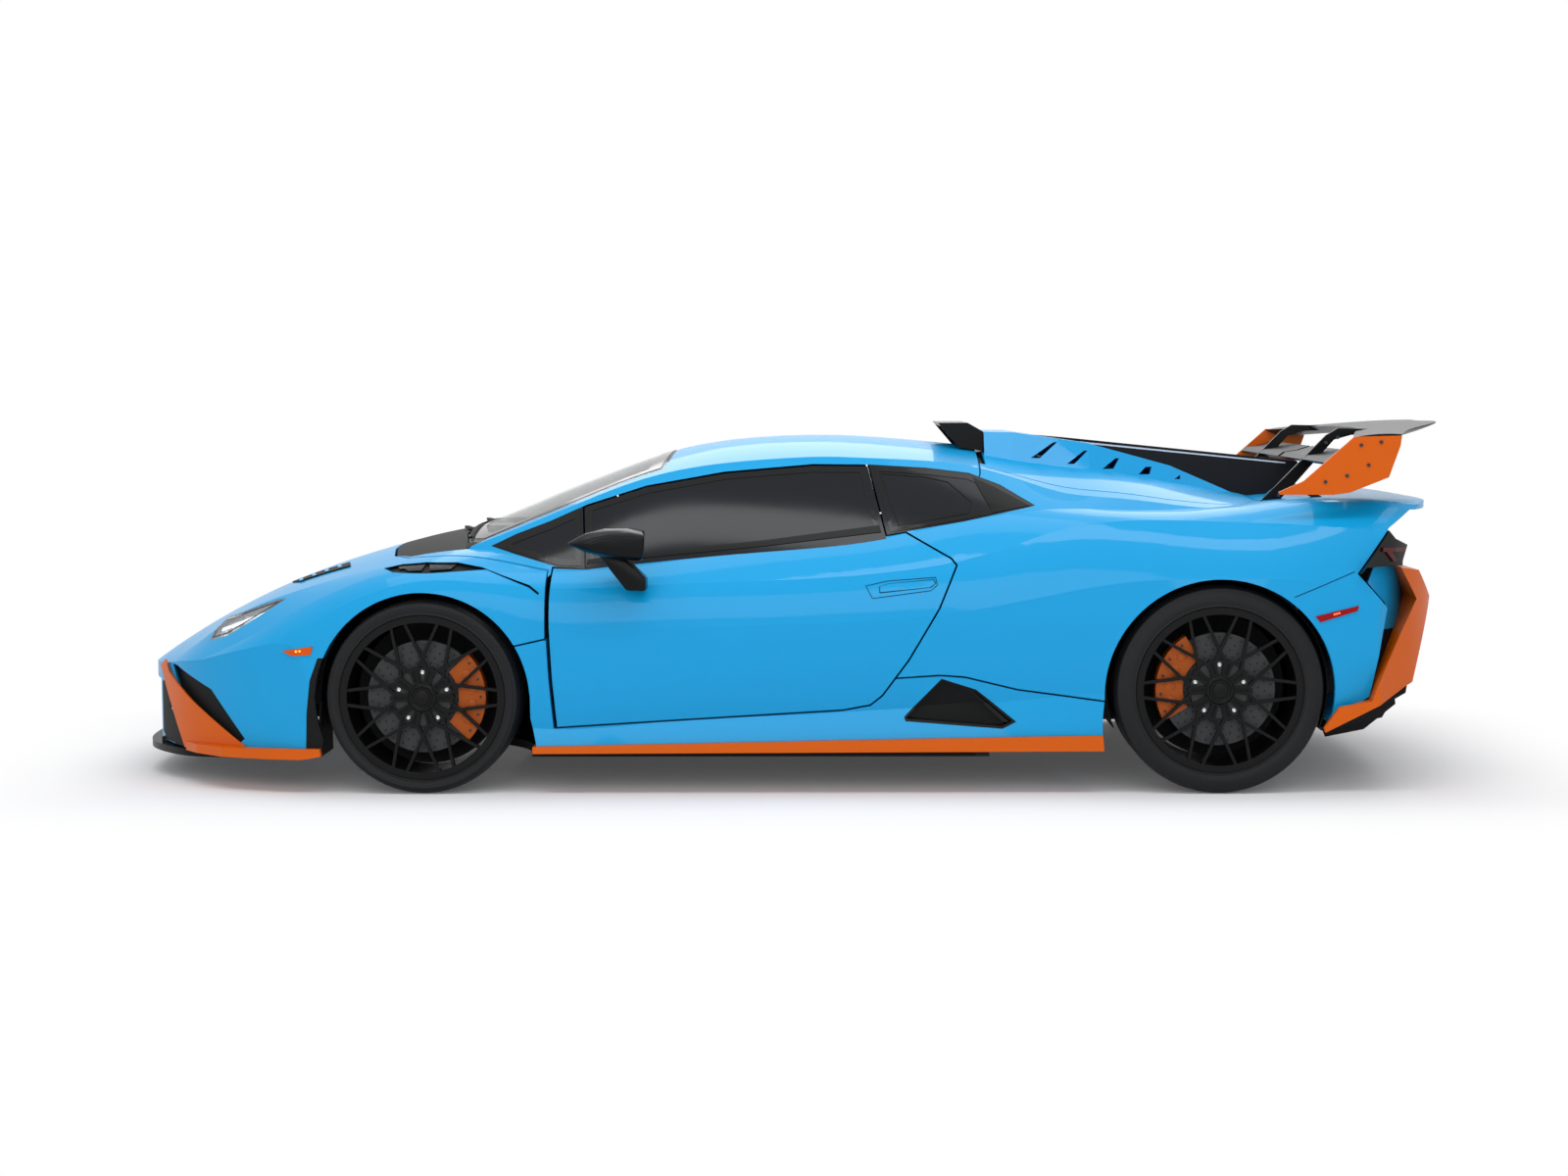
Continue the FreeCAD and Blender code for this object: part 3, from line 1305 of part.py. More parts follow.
def dashboard():
    front_x = tub_front_x + bulkhead_thickness + seat_gap
    rear_x = front_x + dash_depth
    profile = [(front_x, dash_bottom), (front_x, dash_top - dash_drop), (front_x + dash_depth / 2, dash_top),
               (rear_x, dash_top - dash_drop), (rear_x, dash_bottom)]
    panel = prism_across(profile, -dash_half_width, dash_half_width)
    tilt = math.radians(column_tilt)
    direction = vec(math.cos(tilt), 0, math.sin(tilt))
    start = vec(column_x, -seat_y, column_z) - direction * column_length
    column = Part.makeCylinder(column_radius, column_length - wheel_gap, start, direction)
    return largest(panel.fuse(column))


def steering_wheel():
    sides = []
    for corner in range(wheel_rim_corners):
        angle = 2 * math.pi * corner / wheel_rim_corners
        radius = wheel_rim_radius + wheel_rim_thickness * math.cos(angle)
        sides.append(vec(radius, 0, wheel_rim_thickness * math.sin(angle)))
    rim_face = Part.Face(Part.makePolygon(sides + sides[:1]))
    rim_ring = rim_face.revolve(vec(0, 0, 0), vec(0, 0, 1), full_turn)
    hub = Part.makeCylinder(wheel_hub_radius, wheel_hub_depth)
    parts = [hub]
    for angle in wheel_bar_angles:
        bar = box(0, wheel_rim_radius, -wheel_rim_thickness, wheel_rim_thickness, 0, wheel_rim_thickness)
        bar.rotate(vec(0, 0, 0), vec(0, 0, 1), angle)
        parts.append(bar)
    whole = rim_ring.multiFuse(parts)
    whole.rotate(vec(0, 0, 0), vec(0, 0, 1), quarter_turn)
    whole.rotate(vec(0, 0, 0), vec(0, 1, 0), quarter_turn - column_tilt)
    return largest(whole.translated(vec(column_x, -seat_y, column_z)))


# Mirrors on the doors


def mirror_left():
    shell_part = prism_across(side_points(mirror_side_shares), -mirror_outer_y, -mirror_inner_y)
    arm_outer_y = mirror_inner_y + mirror_arm_width
    arm = prism_across(side_points(mirror_arm_side_shares), -arm_outer_y, -mirror_arm_root_y)
    return largest(shell_part.fuse(arm).cut(lower_body(-seat_gap)))


def wheel_set(name, x, radius, width, half_track):
    z = radius
    pieces = {
        "tyre": tyre(radius, width),
        "rim": rim(width),
        "disc": disc_with_bell(width),
    }
    for kind, shape in pieces.items():
        save_pair(kind + "_" + name, placed(shape, x, half_track, z))


def main():
    os.makedirs("parts", exist_ok=True)
    shell = build_shell()
    lower = lower_body(0)
    tools = arches()
    lower_skin = lower.cut(lower_body(lamp_depth))
    pane = glass_shell()
    solid = body(0)
    grown = body(-blade_gap)

    save("front_clamshell", clamshell(shell))
    save("headlights", both(headlight_left(lower_skin)))
    save("front_grilles", Part.Compound(front_grille(shell)))
    save("splitter", splitter(grown))
    save("front_blades", both(front_blade_left(grown)))

    cover = upper_panel(shell, cover_plan_shares, roof_height / 2)
    cover = cover_with_duct(cover, solid)
    save("engine_cover", cover)
    save("snorkel", snorkel(cover, solid))
    save("fin", fin(cover, solid))

    save("cowl", cowl(shell))
    save("roof", roof(shell))
    save("windscreen", windscreen(pane))
    save("side_glass", both(side_glass_left(pane)))
    save("quarter_panels", both(quarter_left(shell)))
    save("rear_deck", upper_panel(shell, deck_plan_shares, deck_bottom))
    blade = sill_blade_left()
    save("sills", both(sill_left(lower, tools, blade)))
    save("sill_blades", both(blade))
    save("side_intakes", both(side_intake_left()))

    door = door_left()
    save_pair("door", door)
    save_pair("door_glass", door_glass_left(pane))
    save_pair("mirror", mirror_left())

    pipes = Part.Compound([cylinder_along(side * exhaust_y) for side in (-1, 1)])
    fascia, corner = rear_fascia(pipes, grown)
    save("rear_fascia", fascia)
    save("rear_bumper_corners", both(corner))
    save("rear_blades", both(rear_blade_left(grown)))
    save("diffuser", diffuser())
    save("tail_lights", both(tail_light_left(grown)))
    save("exhaust", both(exhaust_left()))
    wing = wing_plane()
    save("wing_plane", Part.Compound([wing, both(lower_wing_left())]))
    save("wing_endplates", both(endplate_left(solid)))
    save("wing_pylons", both(pylon_left(wing, solid)))

    save("floor_pan", floor_pan())
    save("front_bulkhead", front_bulkhead())
    save("rear_bulkhead", rear_bulkhead())
    save("engine_block", engine_block())
    save("front_subframe", front_subframe())
    save("rear_subframe", rear_subframe())
    save("wheel_liners", wheel_liners())
    save("seats", both(seat_left()))
    save("dashboard", dashboard())
    save("steering_wheel", steering_wheel())

    wheel_set("front", front_axle_x, front_tyre_radius, front_tyre_width, front_half_track)
    wheel_set("rear", rear_axle_x, rear_tyre_radius, rear_tyre_width, rear_half_track)
    front_z = front_tyre_radius
    rear_z = rear_tyre_radius
    save_pair("knuckle_front", placed(upright(front_tyre_width, 1), front_axle_x, front_half_track, front_z))
    save_pair("caliper_front", placed(caliper(front_tyre_width, 0), front_axle_x, front_half_track, front_z))
    save("uprights_rear", both(placed(rear_upright(), rear_axle_x, rear_half_track, rear_z)))
    rear_caliper = caliper(rear_tyre_width, rear_caliper_angle)
    save("calipers_rear", both(placed(rear_caliper, rear_axle_x, rear_half_track, rear_z)))


if __name__ == "__main__":
    main()
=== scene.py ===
import json
import math
from contextlib import contextmanager

import bpy
import bmesh
from mathutils import Matrix, Vector


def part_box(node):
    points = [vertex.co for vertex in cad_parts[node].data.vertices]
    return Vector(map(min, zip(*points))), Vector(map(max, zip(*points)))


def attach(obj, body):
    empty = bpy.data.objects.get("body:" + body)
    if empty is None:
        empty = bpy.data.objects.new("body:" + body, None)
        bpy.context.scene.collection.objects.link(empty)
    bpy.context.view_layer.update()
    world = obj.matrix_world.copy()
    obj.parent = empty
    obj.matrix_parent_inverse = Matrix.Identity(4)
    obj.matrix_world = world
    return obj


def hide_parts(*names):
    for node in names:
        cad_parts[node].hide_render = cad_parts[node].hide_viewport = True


bl_info = {
    "name": "Supercar model",
    "version": (1, 0, 0),
    "blender": (4, 5, 0),
    "location": "View3D > Sidebar > Supercar",
    "description": "Dresses the supercar's frame with paint, trim and small parts",
    "category": "Add Mesh",
}

# Lengths are in metres. X runs to the tail, Y to the car's right and Z up
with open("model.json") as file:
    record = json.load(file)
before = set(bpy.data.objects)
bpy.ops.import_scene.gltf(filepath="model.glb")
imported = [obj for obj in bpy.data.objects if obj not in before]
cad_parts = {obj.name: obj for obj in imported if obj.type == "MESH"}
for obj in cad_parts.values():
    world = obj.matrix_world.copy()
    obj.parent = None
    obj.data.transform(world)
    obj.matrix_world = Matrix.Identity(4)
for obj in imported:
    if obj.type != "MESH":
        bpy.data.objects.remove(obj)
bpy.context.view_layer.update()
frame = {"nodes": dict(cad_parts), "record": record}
NODES = frame["nodes"]

# Sides of the car: the name of the side and the sign of its Y
SIDES = (("left", -1), ("right", 1))

# Bodies that a left piece and its copy on the right ride on
CHASSIS = ("chassis", "chassis")
NOSE = ("front_clamshell", "front_clamshell")
COVER = ("engine_cover", "engine_cover")
DOORS = ("door_left", "door_right")

# Ways to lay a flat plate on the body: its plane, the level outside the body where it
# starts, and whether it moves up the axis that crosses the plane
SIDE = ("XZ", -1.25, True)
ABOVE = ("XY", 1.6, False)
BEHIND = ("YZ", 2.6, False)
AHEAD = ("YZ", -2.6, True)
CROSS_AXIS = {"YZ": 0, "XZ": 1, "XY": 2}

MERGE_DISTANCE = 0.00001
MISS_MARGIN = 0.02
PLATE_LIFT = 0.0003


# Small builders

def use(piece):
    """Selects one piece and nothing else"""
    bpy.ops.object.select_all(action="DESELECT")
    piece.select_set(True)
    bpy.context.view_layer.objects.active = piece


@contextmanager
def editing(piece, kind="FACE"):
    """Edit mode on one piece, with all of it selected"""
    use(piece)
    bpy.ops.object.mode_set(mode="EDIT")
    bpy.ops.mesh.select_mode(type=kind)
    bpy.ops.mesh.select_all(action="SELECT")
    yield piece
    bpy.ops.object.mode_set(mode="OBJECT")


def pick(piece, kind, test):
    """Selects the vertices or faces that pass a test, in edit mode"""
    bpy.ops.mesh.select_all(action="DESELECT")
    mesh = bmesh.from_edit_mesh(piece.data)
    for item in getattr(mesh, kind):
        item.select_set(bool(test(item)))
    bmesh.update_edit_mesh(piece.data)


def shape_with(piece, kind, **settings):
    """Adds a modifier to a piece and applies it"""
    use(piece)
    made = piece.modifiers.new(kind.lower(), kind)
    for name, value in settings.items():
        setattr(made, name, value)
    bpy.ops.object.modifier_apply(modifier=made.name)


def named(name):
    piece = bpy.context.object
    piece.name = name
    piece.data.name = name
    return piece


def settle(piece):
    """Puts a piece's place and size in its mesh, with its origin at the car's"""
    use(piece)
    bpy.ops.object.transform_apply(location=True, rotation=True, scale=True)
    return piece


def moved(piece, step):
    piece.location = step
    return settle(piece)


def turning(pivot, angle, axis):
    """The matrix of a turn about a pivot"""
    return (Matrix.Translation(pivot) @ Matrix.Rotation(angle, 4, axis)
            @ Matrix.Translation(-Vector(pivot)))


def turned(piece, pivot, angle, axis):
    piece.matrix_world = turning(pivot, angle, axis)
    return settle(piece)


def block(name, low, high):
    """A block between two corners"""
    bpy.ops.object.select_all(action="DESELECT")
    centre = [(a + b) / 2 for a, b in zip(low, high)]
    bpy.ops.mesh.primitive_cube_add(size=1.0, location=centre)
    piece = named(name)
    piece.scale = [b - a for a, b in zip(low, high)]
    return settle(piece)


def drum(name, centre, radius, depth, axis, corners):
    """A round or many-sided bar about a centre, along one axis"""
    bpy.ops.object.select_all(action="DESELECT")
    turn = {"X": (0, math.pi / 2, 0), "Y": (math.pi / 2, 0, 0), "Z": (0, 0, 0)}[axis]
    bpy.ops.mesh.primitive_cylinder_add(
        vertices=corners, radius=radius, depth=depth, location=centre, rotation=turn)
    return settle(named(name))


def plate(name, outline, level, plane="XZ"):
    """A flat plate with an outline, in the plane and at the level given"""
    bpy.ops.object.select_all(action="DESELECT")
    bpy.ops.mesh.primitive_circle_add(vertices=len(outline), fill_type="NGON")
    piece = named(name)
    for vertex, (a, b) in zip(piece.data.vertices, outline):
        vertex.co = {"XZ": (a, level, b), "YZ": (level, a, b), "XY": (a, b, level)}[plane]
    return piece


def circle(radius, count, middle=(0.0, 0.0)):
    """Points of a round outline"""
    turns = [math.tau * step / count for step in range(count)]
    return [(middle[0] + radius * math.cos(turn), middle[1] + radius * math.sin(turn))
            for turn in turns]


def shrunk(outline, shares, middle=None):
    """An outline drawn in by a share along each axis, to a place or its points' mean"""
    middle = middle or [sum(values) / len(outline) for values in zip(*outline)]
    return [tuple(centre + (value - centre) * share for value, centre, share
                  in zip(point, middle, shares)) for point in outline]


def tidy_normals(piece):
    with editing(piece):
        bpy.ops.mesh.remove_doubles(threshold=MERGE_DISTANCE)
        bpy.ops.mesh.normals_make_consistent(inside=False)


def open_middle(piece, width):
    """Turns a plate into a frame of the given width"""
    with editing(piece):
        bpy.ops.mesh.inset(thickness=width)
        bpy.ops.mesh.delete(type="FACE")


def facing(direction, limit=0.9, area=0.0):
    """A test for faces that look in a direction and have at least an area"""
    way = Vector(direction)
    return lambda face: face.normal.dot(way) > limit and face.calc_area() >= area


def step_face(piece, test, margin, move):
    """Raises or sinks the faces that pass a test, inside a margin"""
    with editing(piece):
        pick(piece, "faces", test)
        bpy.ops.mesh.inset(thickness=margin)
        bpy.ops.mesh.extrude_region_move(TRANSFORM_OT_translate={"value": move})


def button(name, centre, radius, depth, corners, edge, way=(0, -1, 0), margin=0.0, rise=0.0):
    """A short bar with soft edges, with the middle of the end that looks the given way
    raised by an amount or sunk"""
    axis = next(letter for letter, part in zip("XYZ", way) if part)
    piece = drum(name, centre, radius, depth, axis, corners)
    if margin:
        step_face(piece, facing(way), margin, Vector(way) * rise)
    soften(piece, edge)
    return piece


def lay_on(piece, node, thickness, view, lift=PLATE_LIFT):
    """Lays a flat piece on a frame piece, drops what finds nothing to lie on, and gives
    the rest its thickness"""
    plane, level, up_axis = view
    shape_with(
        piece, "SHRINKWRAP", target=NODES[node], wrap_method="PROJECT",
        wrap_mode="ABOVE_SURFACE", offset=lift + thickness / 2, use_project_x=plane == "YZ",
        use_project_y=plane == "XZ", use_project_z=plane == "XY",
        use_positive_direction=up_axis, use_negative_direction=not up_axis)
    axis = CROSS_AXIS[plane]
    with editing(piece, "VERT"):
        pick(piece, "verts", lambda vertex: abs(vertex.co[axis] - level) < MISS_MARGIN)
        bpy.ops.mesh.delete(type="VERT")
    shape_with(piece, "SOLIDIFY", thickness=thickness, offset=0.0)
    return piece


def laid(name, outline, node, thickness, cuts=5, view=SIDE, lift=PLATE_LIFT, border=0.0):
    """A plate laid on a frame piece, or only its border where that has a width"""
    plane, level, _ = view
    piece = plate(name, outline, level, plane)
    if border:
        open_middle(piece, border)
    with editing(piece):
        bpy.ops.mesh.quads_convert_to_tris(quad_method="BEAUTY", ngon_method="BEAUTY")
        bpy.ops.mesh.subdivide(number_cuts=cuts)
    lay_on(piece, node, thickness, view, lift)
    tidy_normals(piece)
    return piece


def thick_plate(name, outline, near, far, edge, plane="XZ"):
    """A plate with an outline, from one level to another, with its edges rounded"""
    piece = plate(name, outline, near, plane)
    step = [0.0, 0.0, 0.0]
    step[CROSS_AXIS[plane]] = far - near
    with editing(piece):
        bpy.ops.mesh.extrude_region_move(TRANSFORM_OT_translate={"value": step})
    tidy_normals(piece)
    if edge:
        soften(piece, edge)
    return piece


def soften(piece, width, segments=2, angle=30.0):
    """Rounds the edges of a piece that are sharper than an angle in degrees"""
    shape_with(piece, "BEVEL", width=width, segments=segments, limit_method="ANGLE",
               angle_limit=math.radians(angle))
    smooth(piece, 35.0)


def smooth(piece, angle=30.0):
    use(piece)
    bpy.ops.object.shade_smooth_by_angle(angle=math.radians(angle))


def spun(name, outline, centre, steps):
    """A ring turned about the Y axis from an outline of radius and place along the axis"""
    bpy.ops.object.select_all(action="DESELECT")
    bpy.ops.mesh.primitive_circle_add(vertices=len(outline), fill_type="NOTHING")
    piece = named(name)
    for vertex, (radius, reach) in zip(piece.data.vertices, outline):
        vertex.co = (centre[0], centre[1] + reach, centre[2] + radius)
    with editing(piece, "VERT"):
        bpy.ops.mesh.spin(steps=steps, angle=math.tau, center=centre, axis=(0, 1, 0))
    tidy_normals(piece)
    return piece


def copy_of(piece, name):
    """A copy of a piece with its own mesh"""
    use(piece)
    bpy.ops.object.duplicate(linked=False)
    return named(name)


def copy_across(piece, name):
    """The same piece on the car's other side"""
    other = copy_of(piece, name)
    other.scale = (1, -1, 1)
    with editing(settle(other)):
        bpy.ops.mesh.normals_make_consistent(inside=False)
    return other


def joined(pieces, name):
    bpy.ops.object.select_all(action="DESELECT")
    for piece in pieces:
        piece.select_set(True)
    bpy.context.view_layer.objects.active = pieces[0]
    bpy.ops.object.join()
    return named(name)


def repeated(piece, moves):
    """Copies of a piece, each with its own matrix, joined in one mesh"""
    name = piece.name
    copies = []
    for move in moves:
        other = copy_of(piece, name + "_copy")
        other.matrix_world = move
        copies.append(settle(other))
    bpy.data.objects.remove(piece)
    return joined(copies, name)


def turned_copies(piece, count, centre):
    """Copies of a piece around a wheel's axis"""
    return repeated(piece, [turning(centre, math.tau * number / count, "Y")
                            for number in range(count)])


def moved_copies(piece, places):
    return repeated(piece, [Matrix.Translation(place) for place in places])


def fit(piece, finish, body):
    """Gives a piece its finish and the body it moves with"""
    piece.data.materials.clear()
    piece.data.materials.append(FINISH[finish])
    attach(piece, body)
    return piece


def fit_both(piece, finish, bodies):
    """Fits a left piece and its copy on the right"""
    name = piece.name
    other = copy_across(piece, name + "_right")
    piece.name = name + "_left"
    return fit(piece, finish, bodies[0]), fit(other, finish, bodies[1])


def trim(name, outline, node, finish, bodies, slot=None, **how):
    """Lays a left piece and fits it and its copy on the right"""
    return fit_both(laid(name, outline, node, **how), finish, bodies)


def middle_of(node):
    low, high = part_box(node)
    return (low + high) / 2


def outer_face(node, side):
    """Place along Y of a frame piece's outer face"""
    low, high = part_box(node)
    return low.y if side < 0 else high.y


# Finishes

FINISH = {}
# Frame pieces whose finish isn't that of their slot
OTHER_FINISH = {
    "disc_rear_left": "disc_rear", "disc_rear_right": "disc_rear", "splitter": "woven_black",
    "fin": "woven_black", "diffuser": "woven_black", "wing_plane": "woven_black",
    "steering_wheel": "trim_fabric",
}
SHADER_SOCKETS = {
    "metallic": "Metallic", "coat": "Coat Weight", "alpha": "Alpha",
    "specular": "Specular IOR Level", "glow": "Emission Strength",
}
COAT_ROUGHNESS = 0.04
TONE_DETAIL = 3.0
GRAIN_DETAIL = 2.0
EDGE_SAMPLES = 4

# Tyre pattern: cuts around the tread, share of each that is open, height of the band they
# are in, radians to the metre of the ribs up the wall, their share of the depth, and depth
TREAD_CUTS = 76.0
CUT_SHARE = 0.12
TREAD_BAND = 0.016
RIB_PHASE = 1400.0
RIB_SHARE = 0.05
TREAD_DEPTH = 0.004
TYRE_RADIUS = {"front": 0.320, "rear": 0.342}

# Holes of the brake discs: inner edge of the first row, distance from row to row, holes in
# a row, turn of each row to the last as a share of a hole's step, radius and depth
FIRST_ROW = 0.102
ROW_STEP = 0.02
ROW_HOLES = 30.0
ROW_TURN = 0.36
HOLE_RADIUS = 0.0034
HOLE_DEPTH = 0.003
# Near black painted into the holes: painted shade for the dark inside of each drilled hole
HOLE_SHADE_COLOR = (0.004, 0.004, 0.004, 1.0)

WEAVE_SCALE = 260.0
WEAVE_TONE = 1.9


def add_node(tree, kind, inputs, **settings):
    """Adds a shader node, each of its inputs set to a value or linked to an output"""
    node = tree.nodes.new("ShaderNode" + kind)
    for name, value in settings.items():
        setattr(node, name, value)
    for key, value in inputs.items():
        if isinstance(value, bpy.types.NodeSocket):
            tree.links.new(value, node.inputs[key])
        else:
            node.inputs[key].default_value = value
    return node


def reckon(tree, operation, first, second=0.0):
    """One step of arithmetic in a material"""
    return add_node(tree, "Math", {0: first, 1: second}, operation=operation).outputs[0]


def place_in(tree):
    """The place on the car of the point that is shaded"""
    return tree.nodes.new("ShaderNodeTexCoord").outputs["Object"]


def noise_in(tree, scale, detail):
    return add_node(tree, "TexNoise", {
        "Vector": place_in(tree), "Scale": scale, "Detail": detail}).outputs["Fac"]


def squares_added(tree, first, second):
    return reckon(tree, "ADD", reckon(tree, "MULTIPLY", first, first),
                  reckon(tree, "MULTIPLY", second, second))


def shader_of(made):
    return made.node_tree.nodes["Principled BSDF"]


def principled(name, color, roughness, tones=None, grain=None, **others):
    """A finish. Its tones have a scale and an amount. Its grain has a scale and a depth,
    and the radius that its sharp edges seem to have, where it is given"""
    made = bpy.data.materials.new(name)
    made.use_nodes = True
    tree = made.node_tree
    shader = shader_of(made)
    shader.inputs["Base Color"].default_value = (*color, 1.0)
    shader.inputs["Roughness"].default_value = roughness
    shader.inputs["Coat Roughness"].default_value = COAT_ROUGHNESS
    for key, value in others.items():
        shader.inputs[SHADER_SOCKETS[key]].default_value = value
    if "glow" in others:
        shader.inputs["Emission Color"].default_value = (*color, 1.0)
    if tones:
        scale, amount = tones
        level = add_node(tree, "MapRange", {
            "Value": noise_in(tree, scale, TONE_DETAIL),
            "To Min": 1.0 - amount, "To Max": 1.0 + amount})
        tone = add_node(tree, "HueSaturation", {
            "Color": (*color, 1.0), "Value": level.outputs["Result"]})
        tree.links.new(tone.outputs["Color"], shader.inputs["Base Color"])
    if grain:
        scale, depth, *edge = grain
        carve(made, noise_in(tree, scale, GRAIN_DETAIL), depth, *edge)
    return made


def carve(made, height, depth, edge=0.0):
    """Cuts a pattern into a finish, and rounds its sharp edges to the eye"""
    tree = made.node_tree
    bump = add_node(tree, "Bump", {"Distance": depth, "Height": height})
    if edge:
        rounded = add_node(tree, "Bevel", {"Radius": edge}, samples=EDGE_SAMPLES)
        tree.links.new(rounded.outputs["Normal"], bump.inputs["Normal"])
    tree.links.new(bump.outputs["Normal"], shader_of(made).inputs["Normal"])


def about_axle(tree, centre):
    """Radius and angle about an axle, in turns, of the point that is shaded"""
    parts = add_node(tree, "SeparateXYZ", {"Vector": place_in(tree)})
    across = reckon(tree, "SUBTRACT", parts.outputs["X"], centre[0])
    up = reckon(tree, "SUBTRACT", parts.outputs["Z"], centre[2])
    radius = reckon(tree, "SQRT", squares_added(tree, across, up))
    turns = reckon(tree, "DIVIDE", reckon(tree, "ARCTAN2", up, across), math.tau)
    return radius, turns


def tyre_finish(name, centre, radius):
    """Rubber with cross cuts in the tread and fine ribs on the wall"""
    made = principled(name, (0.008, 0.0085, 0.0095), 0.55, (14.0, 0.2), specular=0.2)
    tree = made.node_tree
    reach, turns = about_axle(tree, centre)
    cuts = reckon(tree, "FRACT", reckon(tree, "MULTIPLY", turns, TREAD_CUTS))
    cuts = reckon(tree, "GREATER_THAN", cuts, CUT_SHARE)
    tread = reckon(tree, "GREATER_THAN", reach, radius - TREAD_BAND)
    wall = reckon(tree, "SUBTRACT", 1.0, tread)
    ribs = reckon(tree, "SINE", reckon(tree, "MULTIPLY", reach, RIB_PHASE))
    ribs = reckon(tree, "MULTIPLY", reckon(tree, "MULTIPLY", ribs, RIB_SHARE), wall)
    carve(made, reckon(tree, "ADD", reckon(tree, "MAXIMUM", cuts, wall), ribs), TREAD_DEPTH)
    return made


def disc_finish(name, centre):
    """Dark carbon disc with rows of drilled holes, bumped in and painted near black as the
    shade inside them
    """
    made = principled(name, (0.038, 0.040, 0.043), 0.42, (220.0, 0.35), specular=0.3)
    tree = made.node_tree
    reach, turns = about_axle(tree, centre)
    rows = reckon(tree, "DIVIDE", reckon(tree, "SUBTRACT", reach, FIRST_ROW), ROW_STEP)
    shift = reckon(tree, "MULTIPLY", reckon(tree, "FLOOR", rows), ROW_TURN)
    holes = reckon(tree, "ADD", reckon(tree, "MULTIPLY", turns, ROW_HOLES), shift)
    along = reckon(tree, "SUBTRACT", reckon(tree, "FRACT", holes), 0.5)
    along = reckon(tree, "MULTIPLY", along,
                   reckon(tree, "MULTIPLY", reach, math.tau / ROW_HOLES))
    out = reckon(tree, "SUBTRACT", reckon(tree, "FRACT", rows), 0.5)
    out = reckon(tree, "MULTIPLY", out, ROW_STEP)
    solid = reckon(tree, "GREATER_THAN", squares_added(tree, along, out), HOLE_RADIUS ** 2)
    solid = reckon(tree, "MAXIMUM", solid, reckon(tree, "LESS_THAN", reach, FIRST_ROW))
    carve(made, solid, HOLE_DEPTH)
    # The holes get a near-black colour: painted shade for the dark inside of each hole
    color = shader_of(made).inputs["Base Color"]
    tone = color.links[0].from_socket
    mix = add_node(tree, "Mix", {"A": HOLE_SHADE_COLOR, "Factor": solid, "B": tone},
                   data_type="RGBA")
    tree.links.new(mix.outputs["Result"], color)
    return made


def woven_finish(name, color, roughness):
    """Carbon cloth, as small squares of two tones"""
    made = principled(name, color, roughness, specular=0.08)
    tree = made.node_tree
    check = add_node(tree, "TexChecker", {
        "Vector": place_in(tree), "Scale": WEAVE_SCALE, "Color1": (*color, 1.0),
        "Color2": (*[value * WEAVE_TONE for value in color], 1.0)})
    tree.links.new(check.outputs["Color"], shader_of(made).inputs["Base Color"])
    return made


